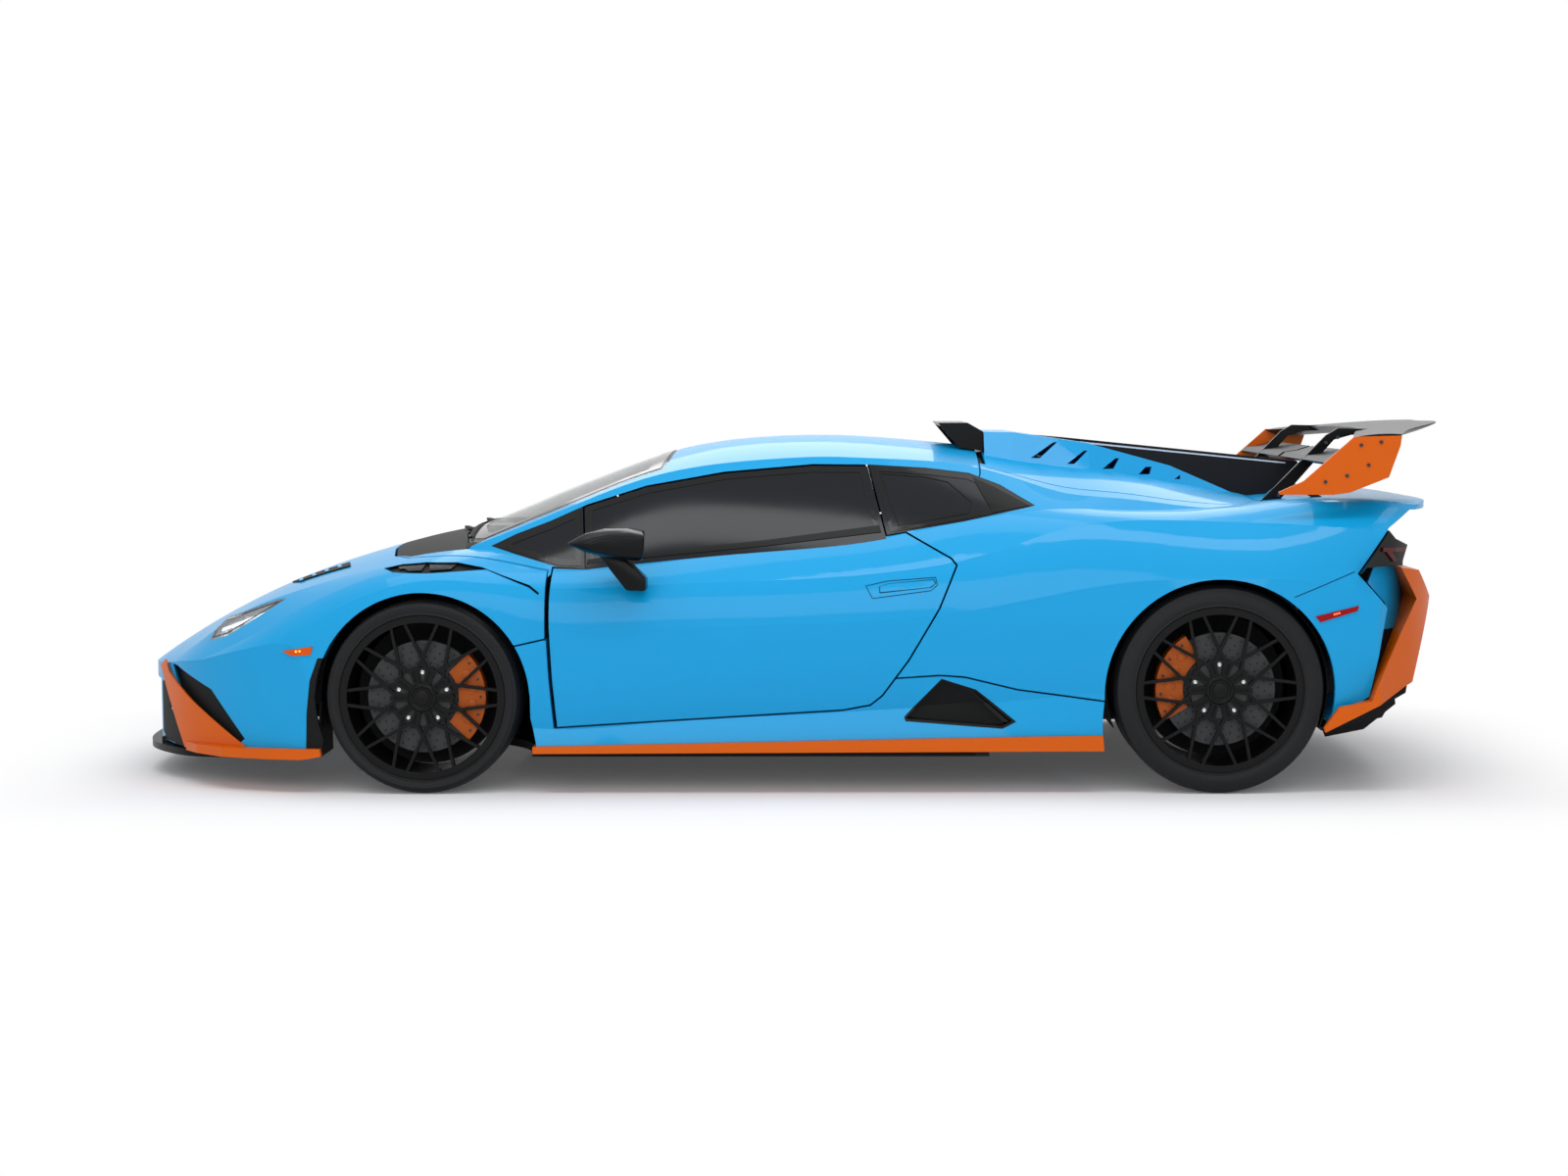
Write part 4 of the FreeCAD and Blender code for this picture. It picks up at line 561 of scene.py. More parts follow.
def make_finishes():
    look = bpy.context.scene.supercar_looks
    front = middle_of("tyre_front_left")
    rear = middle_of("tyre_rear_left")
    return {
        "body_paint": principled(
            "light_blue_paint", look.paint[:3], 0.42, (900.0, 0.03),
            (1400.0, 0.00002, 0.0025), coat=0.3, specular=0.1),
        "accent_paint": principled(
            "orange_paint", look.accent[:3], 0.4, (900.0, 0.04),
            (1400.0, 0.00002, 0.002), coat=0.15, specular=0.1),
        "gloss_black": principled(
            "gloss_black", (0.004, 0.0045, 0.005), 0.26, None,
            (700.0, 0.00002, 0.0015), specular=0.12),
        "matte_black": principled(
            "matt_black", (0.007, 0.0075, 0.008), 0.6, (60.0, 0.15),
            (500.0, 0.00015, 0.001), specular=0.12),
        "woven_black": woven_finish("woven_black", (0.009, 0.009, 0.01), 0.35),
        "dark_glass": principled(
            "tinted_glass", (0.006, 0.008, 0.011), 0.12, (3.0, 0.25), specular=0.2),
        "frit": principled(
            "glass_border", (0.004, 0.004, 0.0045), 0.12, None, (300.0, 0.00001),
            specular=0.25),
        "windscreen_glass": principled(
            "windscreen_glass", (0.1, 0.12, 0.125), 0.02, (3.0, 0.1), alpha=0.4),
        "lamp_clear": principled(
            "clear_lamp_cover", (0.7, 0.73, 0.75), 0.06, (40.0, 0.05), alpha=0.3),
        "lamp_red": principled(
            "red_lamp_cover", (0.3, 0.002, 0.006), 0.15, (200.0, 0.15), specular=0.15),
        "lamp_smoked": principled(
            "smoked_red_lamp_cover", (0.07, 0.001, 0.002), 0.12, (200.0, 0.15),
            specular=0.2),
        "lamp_amber": principled(
            "amber_lamp_cover", (0.66, 0.085, 0.001), 0.15, (200.0, 0.15), specular=0.15),
        "bulb_red": principled("red_bulb", (1.0, 0.1, 0.03), 0.4, (900.0, 0.1), glow=2.5),
        "bulb_amber": principled(
            "amber_bulb", (1.0, 0.35, 0.03), 0.4, (900.0, 0.1), glow=2.5),
        "bulb_white": principled(
            "white_bulb", (0.9, 0.95, 1.0), 0.4, (900.0, 0.1), glow=1.2),
        "tyre": principled(
            "tyre_rubber", (0.012, 0.012, 0.013), 0.6, (30.0, 0.2), (300.0, 0.0002)),
        "tyre_front": tyre_finish("front_tyre_rubber", front, TYRE_RADIUS["front"]),
        "tyre_rear": tyre_finish("rear_tyre_rubber", rear, TYRE_RADIUS["rear"]),
        "rim": principled(
            "black_rim", (0.004, 0.0042, 0.0046), 0.3, None, (900.0, 0.00002, 0.002),
            specular=0.14),
        "disc": disc_finish("front_brake_disc", front),
        "disc_rear": disc_finish("rear_brake_disc", rear),
        "caliper": principled(
            "copper_caliper", (0.42, 0.085, 0.008), 0.4, (80.0, 0.12),
            (400.0, 0.0001, 0.003), coat=0.1, specular=0.12),
        "metal": principled(
            "cast_alloy", (0.32, 0.33, 0.34), 0.42, (60.0, 0.1),
            (300.0, 0.00015, 0.001), metallic=0.9),
        "dark_metal": principled(
            "dark_steel", (0.04, 0.04, 0.043), 0.5, (60.0, 0.15),
            (300.0, 0.00015, 0.001), metallic=0.5),
        "bright": principled(
            "bright_steel", (0.62, 0.63, 0.64), 0.22, (150.0, 0.1),
            (900.0, 0.00003, 0.0006), metallic=1.0),
        "trim_fabric": principled(
            "black_trim_cloth", (0.014, 0.014, 0.015), 0.9, (400.0, 0.3), (900.0, 0.0006)),
        "accent_fabric": principled(
            "orange_trim_cloth", (0.5, 0.11, 0.01), 0.85, (400.0, 0.2), (900.0, 0.0006)),
        "exhaust": principled(
            "heat_tinted_steel", (0.26, 0.23, 0.21), 0.3, (9.0, 0.3), (200.0, 0.00005),
            metallic=1.0),
        "seam": principled(
            "seam_line", (0.004, 0.03, 0.06), 0.7, (300.0, 0.2), specular=0.1),
        # Painted highlight: the pale colour of the strip on the fin, which stands for a
        # reflection of the sky
        "pale": principled(
            "pale_line", (0.62, 0.66, 0.7), 0.35, (200.0, 0.04), (700.0, 0.00002)),
        "mirror_glass": principled(
            "mirror_glass", (0.75, 0.78, 0.8), 0.02, (12.0, 0.03), metallic=1.0),
    }


class SupercarLooks(bpy.types.PropertyGroup):
    paint: bpy.props.FloatVectorProperty(
        name="Paint", description="Colour of the painted panels", subtype="COLOR", size=4,
        default=(0.002, 0.32, 0.66, 1.0), min=0.0, max=1.0)
    accent: bpy.props.FloatVectorProperty(
        name="Accent", description="Colour of the blades and endplates", subtype="COLOR",
        size=4, default=(0.64, 0.105, 0.001, 1.0), min=0.0, max=1.0)
    lamp_power: bpy.props.FloatProperty(
        name="Lamp power", description="Power that the soft lamps take their shares of",
        default=240.0, min=0.0, unit="POWER")
    floor_size: bpy.props.FloatProperty(
        name="Floor size", description="Width of the floor", default=60.0, min=1.0,
        unit="LENGTH")
    frame_width: bpy.props.FloatProperty(
        name="Window border", description="Width of the black border of the side windows",
        default=0.02, min=0.004, unit="LENGTH")
    tread_steps: bpy.props.IntProperty(
        name="Tyre steps", description="Steps around each tyre", default=144, min=24)


class SUPERCAR_OT_finishes(bpy.types.Operator):
    """Gives every frame piece its finish"""
    bl_idname = "supercar.finishes"
    bl_label = "Finish the frame pieces"

    def execute(self, context):
        FINISH.update(make_finishes())
        for part in frame["record"]["subparts"]:
            node = part["node"]
            mesh = NODES[node].data
            mesh.materials.clear()
            mesh.materials.append(FINISH[OTHER_FINISH.get(node, part["material_slot"])])
        return {"FINISHED"}


# Wheels: name, side, body of the wheel, and body of its caliper
WHEELS = (
    ("front_left", -1, "wheel_front_left", "knuckle_front_left"),
    ("front_right", 1, "wheel_front_right", "knuckle_front_right"),
    ("rear_left", -1, "wheel_rear_left", "chassis"),
    ("rear_right", 1, "wheel_rear_right", "chassis"),
)
# Tyre wall from the bead up: radius, and distance inwards from the widest place
LOWER_WALL = (
    (0.2545, 0.0268), (0.262, 0.016), (0.2735, 0.008), (0.2765, 0.003), (0.281, 0.0042),
    (0.290, 0.001), (0.300, 0.0),
)
# Shoulder: distances down from the tread and inwards from the widest place
SHOULDER = ((0.022, 0.0045), (0.0085, 0.0092), (0.0038, 0.019), (0.0008, 0.031))
# Tread grooves: their places as shares of half the tyre's width, and their sizes
GROOVE_SHARES = (0.62, 0.2, -0.2, -0.62)
GROOVE_WIDTH = 0.010
GROOVE_FLOOR = 0.008
GROOVE_DEPTH = 0.006

# Rings turned about the axle: radius, and distance outwards
HUB_CAP = (
    (0.047, -0.003), (0.047, 0.004), (0.043, 0.008), (0.036, 0.008), (0.033, 0.005),
    (0.026, 0.005), (0.024, 0.009), (0.010, 0.011), (0.0005, 0.0115), (0.0005, -0.003),
)
DISC_RING = ((0.0965, 0.0), (0.0965, 0.004), (0.101, 0.004), (0.101, 0.0))
DUST_SHIELD = (
    (0.060, 0.0), (0.200, 0.0), (0.232, 0.010), (0.240, 0.010), (0.240, 0.012),
    (0.231, 0.012), (0.199, 0.002), (0.060, 0.002),
)
RIM_FACE_DEPTH = 0.004
SHIELD_DEPTH = 0.070
RING_DEPTH = 0.042
RING_STEPS = 72
CAP_STEPS = 48
STUD_CIRCLE = 0.0395
DISC_BOLT_CIRCLE = 0.083
REAR_CALIPER_TURN = math.radians(166)
# Humps of a caliper: degrees from its middle, and radius. Pins: degrees from its middle
CALIPER_HUMPS = ((-27, 0.0155), (-9, 0.0185), (9, 0.0185), (27, 0.0155))
CALIPER_PINS = (-36, -18, 0, 18, 36)
HUMP_CIRCLE = 0.162
PIN_CIRCLE = 0.190


def tyre_outline(radius, half):
    """Section of a tyre: radius, and place along the axle"""
    wall = [(reach, half - inwards) for reach, inwards in LOWER_WALL]
    wall += [(radius - down, half - inwards) for down, inwards in SHOULDER]
    tread = []
    for share in GROOVE_SHARES:
        middle = half * share
        tread += [
            (radius, middle + GROOVE_WIDTH / 2),
            (radius - GROOVE_DEPTH, middle + GROOVE_FLOOR / 2),
            (radius - GROOVE_DEPTH, middle - GROOVE_FLOOR / 2),
            (radius, middle - GROOVE_WIDTH / 2),
        ]
    return wall + tread + [(reach, -place) for reach, place in reversed(wall)]


def wheel_ring(name, profile, side, centre, level, steps):
    """A ring about an axle, with its profile's outward side on the wheel's"""
    outline = [(radius, side * reach) for radius, reach in profile]
    return spun(name, outline, (centre.x, level, centre.z), steps)


def build_tyre(name, body, steps):
    node = "tyre_" + name
    low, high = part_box(node)
    outline = tyre_outline((high.z - low.z) / 2, (high.y - low.y) / 2)
    piece = spun("tyre_with_tread_" + name, outline, middle_of(node), steps)
    smooth(piece)
    fit(piece, "tyre_" + name.split("_")[0], body)
    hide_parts(node)


def build_hub_cap(name, side, body):
    centre = middle_of("rim_" + name)
    face = outer_face("rim_" + name, side) - side * RIM_FACE_DEPTH
    cap = wheel_ring("hub_cap_" + name, HUB_CAP, side, centre, face, CAP_STEPS)
    smooth(cap)
    fit(cap, "rim", body)
    place = (centre.x, face + side * 0.009, centre.z + STUD_CIRCLE)
    stud = button("hub_studs_" + name, place, 0.0038, depth=0.003, corners=6, edge=0.0006)
    fit(turned_copies(stud, 10, (centre.x, face, centre.z)), "gloss_black", body)


def build_disc_bolts(name, side, body):
    centre = middle_of("disc_" + name)
    bell = outer_face("disc_" + name, side)
    place = (centre.x, bell + side * 0.003, centre.z + DISC_BOLT_CIRCLE)
    bolt = button("disc_bolts_" + name, place, 0.0075, depth=0.006, corners=6, edge=0.0007,
                  way=(0, side, 0), margin=0.0025, rise=-0.002)
    fit(turned_copies(bolt, 5, (centre.x, bell, centre.z)), "bright", body)
    ring = wheel_ring("disc_ring_" + name, DISC_RING, side, centre,
                      bell - side * RING_DEPTH, RING_STEPS)
    soften(ring, 0.0008)
    fit(ring, "dark_metal", body)


def build_caliper_details(name, side, body):
    rear = name.startswith("rear")
    axle = middle_of("disc_" + name)
    face = outer_face("calipers_rear" if rear else "caliper_" + name, side)
    middle = REAR_CALIPER_TURN if rear else 0.0

    def place_at(degrees, reach, out):
        turn = middle + math.radians(degrees)
        return (axle.x + reach * math.cos(turn), face + side * out,
                axle.z + reach * math.sin(turn))

    humps = [button("caliper_hump", place_at(degrees, HUMP_CIRCLE, 0.0012), size,
                    depth=0.0028, corners=28, edge=0.0007, way=(0, side, 0),
                    margin=size * 0.4, rise=0.0008) for degrees, size in CALIPER_HUMPS]
    fit(joined(humps, "caliper_humps_" + name), "caliper", body)
    pins = [button("caliper_pin", place_at(degrees, PIN_CIRCLE, 0.0016), 0.0048,
                   depth=0.0034, corners=6, edge=0.0006) for degrees in CALIPER_PINS]
    fit(joined(pins, "caliper_pins_" + name), "dark_metal", body)


def build_dust_shield(name, side, body):
    """A dished plate behind the brake disc, inside the rim's barrel"""
    level = middle_of("tyre_" + name).y - side * SHIELD_DEPTH
    shield = wheel_ring("dust_shield_" + name, DUST_SHIELD, side, middle_of("rim_" + name),
                        level, RING_STEPS)
    smooth(shield)
    fit(shield, "matte_black", body)


class SUPERCAR_OT_wheels(bpy.types.Operator):
    """Adds the treaded tyres, hub caps, bolts, caliper details and dust shields"""
    bl_idname = "supercar.wheels"
    bl_label = "Dress the wheels"

    def execute(self, context):
        steps = context.scene.supercar_looks.tread_steps
        for name, side, body, carrier in WHEELS:
            build_tyre(name, body, steps)
            build_hub_cap(name, side, body)
            build_disc_bolts(name, side, body)
            build_caliper_details(name, side, carrier)
            build_dust_shield(name, side, carrier)
        return {"FINISHED"}


# Windows. Outlines in side view, and of the windscreen's left half from above
FRONT_PANE = (
    (-0.978, 0.807), (-0.898, 0.842), (-0.790, 0.882), (-0.684, 0.928), (-0.667, 0.744),
    (-0.745, 0.746), (-0.898, 0.786),
)
DOOR_PANE = (
    (-0.665, 0.934), (-0.464, 0.996), (-0.199, 1.042), (0.101, 1.066), (0.277, 1.064),
    (0.330, 0.852), (-0.061, 0.807), (-0.454, 0.770), (-0.648, 0.748),
)
REAR_PANE = (
    (0.300, 1.068), (0.480, 1.056), (0.624, 1.039), (0.722, 1.000), (0.836, 0.938),
    (0.598, 0.892), (0.356, 0.852),
)
REAR_LIGHT = (
    (0.325, 1.046), (0.478, 1.034), (0.556, 1.016), (0.634, 0.950), (0.618, 0.914),
    (0.386, 0.872),
)
BELT_LINE = (
    (-0.652, 0.752), (-0.454, 0.772), (-0.061, 0.809), (0.328, 0.854), (0.322, 0.876),
    (-0.061, 0.828), (-0.454, 0.788), (-0.651, 0.766),
)
QUARTER_COVER = ((0.640, 1.030), (0.716, 0.996), (0.826, 0.937), (0.700, 0.914))
SCREEN_HALF = (
    (-1.110, 0.0), (-1.100, 0.300), (-1.060, 0.540), (-1.020, 0.615), (-0.800, 0.595),
    (-0.600, 0.560), (-0.425, 0.515), (-0.412, 0.300), (-0.402, 0.0),
)
SCREEN_LINE = (*SCREEN_HALF, *[(x, -y) for x, y in reversed(SCREEN_HALF[1:-1])])
WIPER_BLADES = (
    ((-1.075, -0.50), (-1.098, -0.02), (-1.112, -0.02), (-1.090, -0.51)),
    ((-1.095, 0.06), (-1.045, 0.54), (-1.060, 0.545), (-1.110, 0.06)),
)
WIPER_ARMS = (
    ((-1.150, -0.06), (-1.092, -0.26), (-1.100, -0.275), (-1.166, -0.07)),
    ((-1.150, 0.52), (-1.078, 0.30), (-1.088, 0.285), (-1.166, 0.51)),
)
WIPER_ARM_LEVELS = (0.834, 0.844)
# Shares of a pane's outline that its border keeps, so that the shut lines stay clear
PANE_SHARES = (0.985, 0.985)
NARROW_SHARE = 0.7
SCREEN_BORDER = 0.045
LIGHT_LINE = 0.003
PRINT_THICKNESS = 0.0012
SEAL_THICKNESS = 0.002


class SUPERCAR_OT_windows(bpy.types.Operator):
    """Adds the black borders, the belt seals, the quarter covers and the wipers"""
    bl_idname = "supercar.windows"
    bl_label = "Trim the windows"

    def execute(self, context):
        width = context.scene.supercar_looks.frame_width
        for name, outline, node, bodies, border in (
                ("front_pane_border", FRONT_PANE, "side_glass", CHASSIS, width),
                ("door_pane_border", DOOR_PANE, "door_glass_left", DOORS,
                 width * NARROW_SHARE),
                ("rear_pane_border", REAR_PANE, "side_glass", CHASSIS,
                 width * NARROW_SHARE)):
            trim(name, shrunk(outline, PANE_SHARES), node, "frit", bodies,
                 thickness=PRINT_THICKNESS, border=border)
        trim("rear_light_line", REAR_LIGHT, "side_glass", "matte_black", CHASSIS,
             thickness=PRINT_THICKNESS, border=LIGHT_LINE)
        trim("belt_seal", BELT_LINE, "door_glass_left", "gloss_black", DOORS,
             thickness=SEAL_THICKNESS)
        trim("quarter_cover", QUARTER_COVER, "side_glass", "gloss_black", CHASSIS,
             thickness=SEAL_THICKNESS)
        screen = laid("screen_border", SCREEN_LINE, "windscreen", PRINT_THICKNESS,
                      view=ABOVE, border=SCREEN_BORDER)
        fit(screen, "frit", "chassis")
        for number, outline in enumerate(WIPER_BLADES):
            blade = laid("wiper_blade_%d" % number, outline, "windscreen", thickness=0.008,
                         cuts=4, view=ABOVE, lift=0.002)
            fit(blade, "matte_black", "chassis")
        for number, outline in enumerate(WIPER_ARMS):
            arm = thick_plate("wiper_arm_%d" % number, outline, *WIPER_ARM_LEVELS,
                              edge=0.002, plane="XY")
            fit(arm, "matte_black", "chassis")
        return {"FINISHED"}


# Lamps, in side view, and the tail strips from behind
FRONT_MARKER = ((-1.655, 0.473), (-1.549, 0.490), (-1.556, 0.462), (-1.622, 0.458))
FRONT_BULBS = ((-1.592, 0.474), (-1.604, 0.473))
REAR_MARKER = ((1.736, 0.586), (1.880, 0.619), (1.876, 0.602), (1.752, 0.567))
REAR_BULBS = ((1.798, 0.592), (1.806, 0.594), (1.814, 0.596))
LENS = (
    (-1.950, 0.492), (-1.930, 0.546), (-1.712, 0.622), (-1.690, 0.627), (-1.789, 0.567),
    (-1.885, 0.512),
)
LAMP_STRIP = ((-1.925, 0.532), (-1.712, 0.612), (-1.716, 0.606), (-1.925, 0.524))
LAMP_BOWL_PLACES = ((-1.905, 0.517), (-1.862, 0.541), (-1.818, 0.566))
TAIL_STRIP = ((-0.905, 0.792), (-0.60, 0.776), (-0.60, 0.790), (-0.905, 0.806))
TAIL_HOOK = ((-0.905, 0.806), (-0.885, 0.805), (-0.845, 0.760), (-0.862, 0.757))
# Moves from the cover of the headlamp to its insides
TRAY_MOVE = (0.004, 0.03, -0.022)
STRIP_MOVE = (0.002, 0.018, -0.014)
BOWL_MOVE = (0.0, 0.021, -0.016)
MARKER_THICKNESS = 0.004
BULB_RADIUS = 0.0032
BOWL_RADIUS = 0.016
LAMP_LINE = 0.0035


def marker(name, outline, node, finish, bodies, bulb, places):
    """A side marker: its cover, and the bulbs that show on it"""
    trim(name, outline, node, finish, bodies, thickness=MARKER_THICKNESS, cuts=3)
    bulbs = [laid(name + "_bulb", circle(BULB_RADIUS, 8, place), node, thickness=0.001,
                  cuts=1, lift=0.0042) for place in places]
    fit_both(joined(bulbs, name + "_bulbs"), bulb, bodies)


class SUPERCAR_OT_lamps(bpy.types.Operator):
    """Adds the headlamps' insides, the tail strips and the side markers"""
    bl_idname = "supercar.lamps"
    bl_label = "Fit the lamps"

    def execute(self, context):
        marker("front_marker", FRONT_MARKER, "front_clamshell", "lamp_amber", NOSE,
               "bulb_amber", FRONT_BULBS)
        marker("rear_marker", REAR_MARKER, "quarter_panels", "lamp_red", CHASSIS,
               "bulb_red", REAR_BULBS)
        tray = laid("lamp_tray", LENS, "headlights", thickness=0.002, cuts=3)
        fit_both(moved(tray, TRAY_MOVE), "dark_metal", NOSE)
        strip = laid("lamp_strip", LAMP_STRIP, "headlights", thickness=0.004, cuts=4)
        fit_both(moved(strip, STRIP_MOVE), "bulb_white", NOSE)
        trim("lamp_outline", LENS, "headlights", "frit", NOSE, thickness=0.0008, cuts=4,
             border=LAMP_LINE)
        for number, place in enumerate(LAMP_BOWL_PLACES):
            bowl = laid("lamp_bowl_%d" % number, circle(BOWL_RADIUS, 20, place),
                        "headlights", thickness=0.004, cuts=1)
            step_face(bowl, facing((0, -1, 0), 0.3), margin=0.003, move=(0, 0.0015, 0))
            fit_both(moved(bowl, BOWL_MOVE), "mirror_glass", NOSE)
        for name, outline in (("tail_strip", TAIL_STRIP), ("tail_hook", TAIL_HOOK)):
            trim(name, outline, "tail_lights", "lamp_smoked", CHASSIS, "lamp_red",
                 thickness=0.006, view=BEHIND)
        return {"FINISHED"}


# Doors, fenders and seams in side view, hood vents from above, arch flap from the front
HANDLE = (
    (0.273, 0.686), (0.344, 0.702), (0.504, 0.714), (0.511, 0.688), (0.488, 0.669),
    (0.296, 0.644),
)
HANDLE_LEVER = (
    (0.318, 0.683), (0.348, 0.693), (0.498, 0.707), (0.505, 0.694), (0.488, 0.680),
    (0.320, 0.662),
)
HANDLE_LINE = 0.0022
LEVER_SHARES = (0.96, 0.86)
LEVER_MIDDLE = (0.4115, 0.6845)
CORNER_SEAM = ((1.668, 0.650), (1.935, 0.757), (1.936, 0.7545), (1.669, 0.6475))
FENDER_SCOOPS = (
    ((-1.300, 0.744), (-1.250, 0.749), (-1.187, 0.752), (-1.196, 0.731), (-1.262, 0.727)),
    ((-1.176, 0.752), (-1.080, 0.752), (-1.100, 0.735), (-1.168, 0.731)),
)
HOOD_VENT = ((-1.745, -0.300), (-1.530, -0.350), (-1.500, -0.500), (-1.690, -0.440))
HOOD_SLAT = ((-1.720, -0.315), (-1.706, -0.318), (-1.672, -0.455), (-1.686, -0.450))
HOOD_SLAT_COUNT = 4
HOOD_SLAT_STEP = 0.045
ARCH_FLAP = (
    (-0.905, 0.118), (-0.690, 0.118), (-0.690, 0.300), (-0.870, 0.300), (-0.905, 0.200),
)
ARCH_FLAP_PLACES = (-1.541, -1.534)

# Mirror: its side and arm in side view, and its glass from behind
MIRROR_SIDE = (
    (-0.696, 0.834), (-0.640, 0.864), (-0.575, 0.880), (-0.500, 0.882), (-0.446, 0.872),
    (-0.452, 0.776), (-0.560, 0.786), (-0.640, 0.806),
)
MIRROR_ARM = (
    (-0.600, 0.800), (-0.520, 0.790), (-0.443, 0.716), (-0.443, 0.676), (-0.506, 0.678),
)
MIRROR_GLASS = ((-1.058, 0.866), (-0.974, 0.868), (-0.974, 0.786), (-1.058, 0.790))
MIRROR_INNER_SIDE = -0.963
MIRROR_ARM_LEVELS = (-0.902, -1.004)
MIRROR_GLASS_PLACES = (-0.4525, -0.4495)
# The housing's steps outwards: a move, then a change of size about a place
MIRROR_STEPS = (
    ((0.0, -0.070, 0.0), (1.0, 1.0, 1.0), (-0.46, -1.033, 0.83)),
    ((0.010, -0.038, 0.0), (0.86, 1.0, 0.78), (-0.46, -1.07, 0.83)),
    ((0.004, -0.012, 0.0), (0.84, 1.0, 0.74), (-0.48, -1.083, 0.83)),
)


class SUPERCAR_OT_body_trim(bpy.types.Operator):
    """Adds door handles, seams, fender scoops, hood vents, arch flaps and mirrors"""
    bl_idname = "supercar.body_trim"
    bl_label = "Trim the body"

    def execute(self, context):
        for name, outline in (("handle_recess", HANDLE), ("handle_lever", HANDLE_LEVER)):
            trim(name, outline, "door_left", "seam", DOORS, thickness=0.0006,
                 border=HANDLE_LINE)
        trim("handle_plate", shrunk(HANDLE_LEVER, LEVER_SHARES, LEVER_MIDDLE), "door_left",
             "body_paint", DOORS, "body_paint", thickness=0.002, cuts=3)
        trim("corner_seam", CORNER_SEAM, "quarter_panels", "seam", CHASSIS,
             thickness=0.0005, cuts=7)
        for number, outline in enumerate(FENDER_SCOOPS):
            trim("fender_scoop_%d" % number, outline, "front_grilles", "gloss_black", NOSE,
                 thickness=0.006, cuts=2)
        trim("hood_vent", HOOD_VENT, "front_clamshell", "matte_black", NOSE,
             thickness=0.005, cuts=4, view=ABOVE)
        for number in range(HOOD_SLAT_COUNT):
            outline = [(x + HOOD_SLAT_STEP * number, y) for x, y in HOOD_SLAT]
            trim("hood_slat_%d" % number, outline, "front_clamshell", "body_paint", NOSE,
                 "body_paint", thickness=0.0025, cuts=3, view=ABOVE, lift=0.0045)
        flap = thick_plate("arch_flap", ARCH_FLAP, *ARCH_FLAP_PLACES, edge=0.0, plane="YZ")
        fit_both(flap, "matte_black", NOSE)
        self.add_mirrors()
        return {"FINISHED"}

    def add_mirrors(self):
        housing = plate("mirror_housing", MIRROR_SIDE, MIRROR_INNER_SIDE)
        with editing(housing):
            for move, size, centre in MIRROR_STEPS:
                bpy.ops.mesh.extrude_region_move(TRANSFORM_OT_translate={"value": move})
                bpy.ops.transform.resize(value=size, center_override=centre)
        tidy_normals(housing)
        soften(housing, 0.006, segments=3, angle=25.0)
        step_face(housing, facing((1, 0, 0), area=0.003), margin=0.006, move=(-0.004, 0, 0))
        arm = thick_plate("mirror_arm", MIRROR_ARM, *MIRROR_ARM_LEVELS, edge=0.006)
        glass = thick_plate("mirror_glass", MIRROR_GLASS, *MIRROR_GLASS_PLACES, edge=0.0008,
                            plane="YZ")
        for shell, node in zip(fit_both(housing, "gloss_black", DOORS),
                               ("mirror_left", "mirror_right")):
            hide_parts(node)
        fit_both(arm, "gloss_black", DOORS)
        fit_both(glass, "mirror_glass", DOORS)


# Grilles, from the front and from behind
NOSE_CORNER = (
    (-0.447, 0.321), (-0.500, 0.342), (-0.560, 0.270), (-0.665, 0.150), (-0.660, 0.119),
    (-0.447, 0.119),
)
# Meshes: step from opening to opening, width of the bars, and Y and Z of the first opening
NOSE_MESH = (0.026, 0.005, -0.39, 0.305)
TAIL_MESH = (0.034, 0.006, -0.50, 0.900)
MESH_COLUMNS = 30
MESH_ROWS = 4
MESH_THICKNESS = 0.003
MESH_LIFT = 0.0005
MESH_MERGE = 0.0005
# Tail ribs: half their width, their height, the level of the first and the steps down
RIB_HALF = 0.70
RIB_HEIGHT = 0.010
RIB_TOP = 0.640
RIB_STEP = 0.055
RIB_COUNT = 5


def mesh_on(name, size, node, view):
    """Six-sided openings, made once, repeated both ways and laid on a frame piece"""
    cell, bar, y, z = size
    bpy.ops.object.select_all(action="DESELECT")
    bpy.ops.mesh.primitive_circle_add(
        vertices=6, radius=cell / math.sqrt(3), fill_type="NGON", location=(view[1], y, z),
        rotation=(0, math.pi / 2, 0))
    piece = settle(named(name))
    open_middle(piece, bar / 2)
    step = cell * math.sqrt(3) / 2
    other = moved(copy_of(piece, name + "_half"), (0, cell / 2, -step))
    piece = joined([piece, other], name)
    for count, offset in ((MESH_COLUMNS, (0, cell, 0)), (MESH_ROWS, (0, 0, -2 * step))):
        shape_with(piece, "ARRAY", count=count, use_relative_offset=False,
                   use_constant_offset=True, constant_offset_displace=offset)
    with editing(piece):
        bpy.ops.mesh.remove_doubles(threshold=MESH_MERGE)
    return lay_on(piece, node, MESH_THICKNESS, view, MESH_LIFT)


class SUPERCAR_OT_grilles(bpy.types.Operator):
    """Adds the meshes of the nose and the tail, the nose's corner panels and tail ribs"""
    bl_idname = "supercar.grilles"
    bl_label = "Fit the grilles"

    def execute(self, context):
        fit(mesh_on("nose_mesh", NOSE_MESH, "front_grilles", AHEAD), "matte_black", NOSE[0])
        trim("nose_corner_panel", NOSE_CORNER, "front_clamshell", "matte_black", NOSE,
             thickness=0.002, cuts=6, view=AHEAD)
        fit(mesh_on("tail_mesh", TAIL_MESH, "rear_fascia", BEHIND), "matte_black", "chassis")
        for number in range(RIB_COUNT):
            top = RIB_TOP - RIB_STEP * number
            outline = ((-RIB_HALF, top), (RIB_HALF, top), (RIB_HALF, top - RIB_HEIGHT),
                       (-RIB_HALF, top - RIB_HEIGHT))
            rib = laid("tail_rib_%d" % number, outline, "rear_fascia", thickness=0.006,
                       cuts=9, view=BEHIND, lift=0.0005)
            fit(rib, "gloss_black", "chassis")
        return {"FINISHED"}
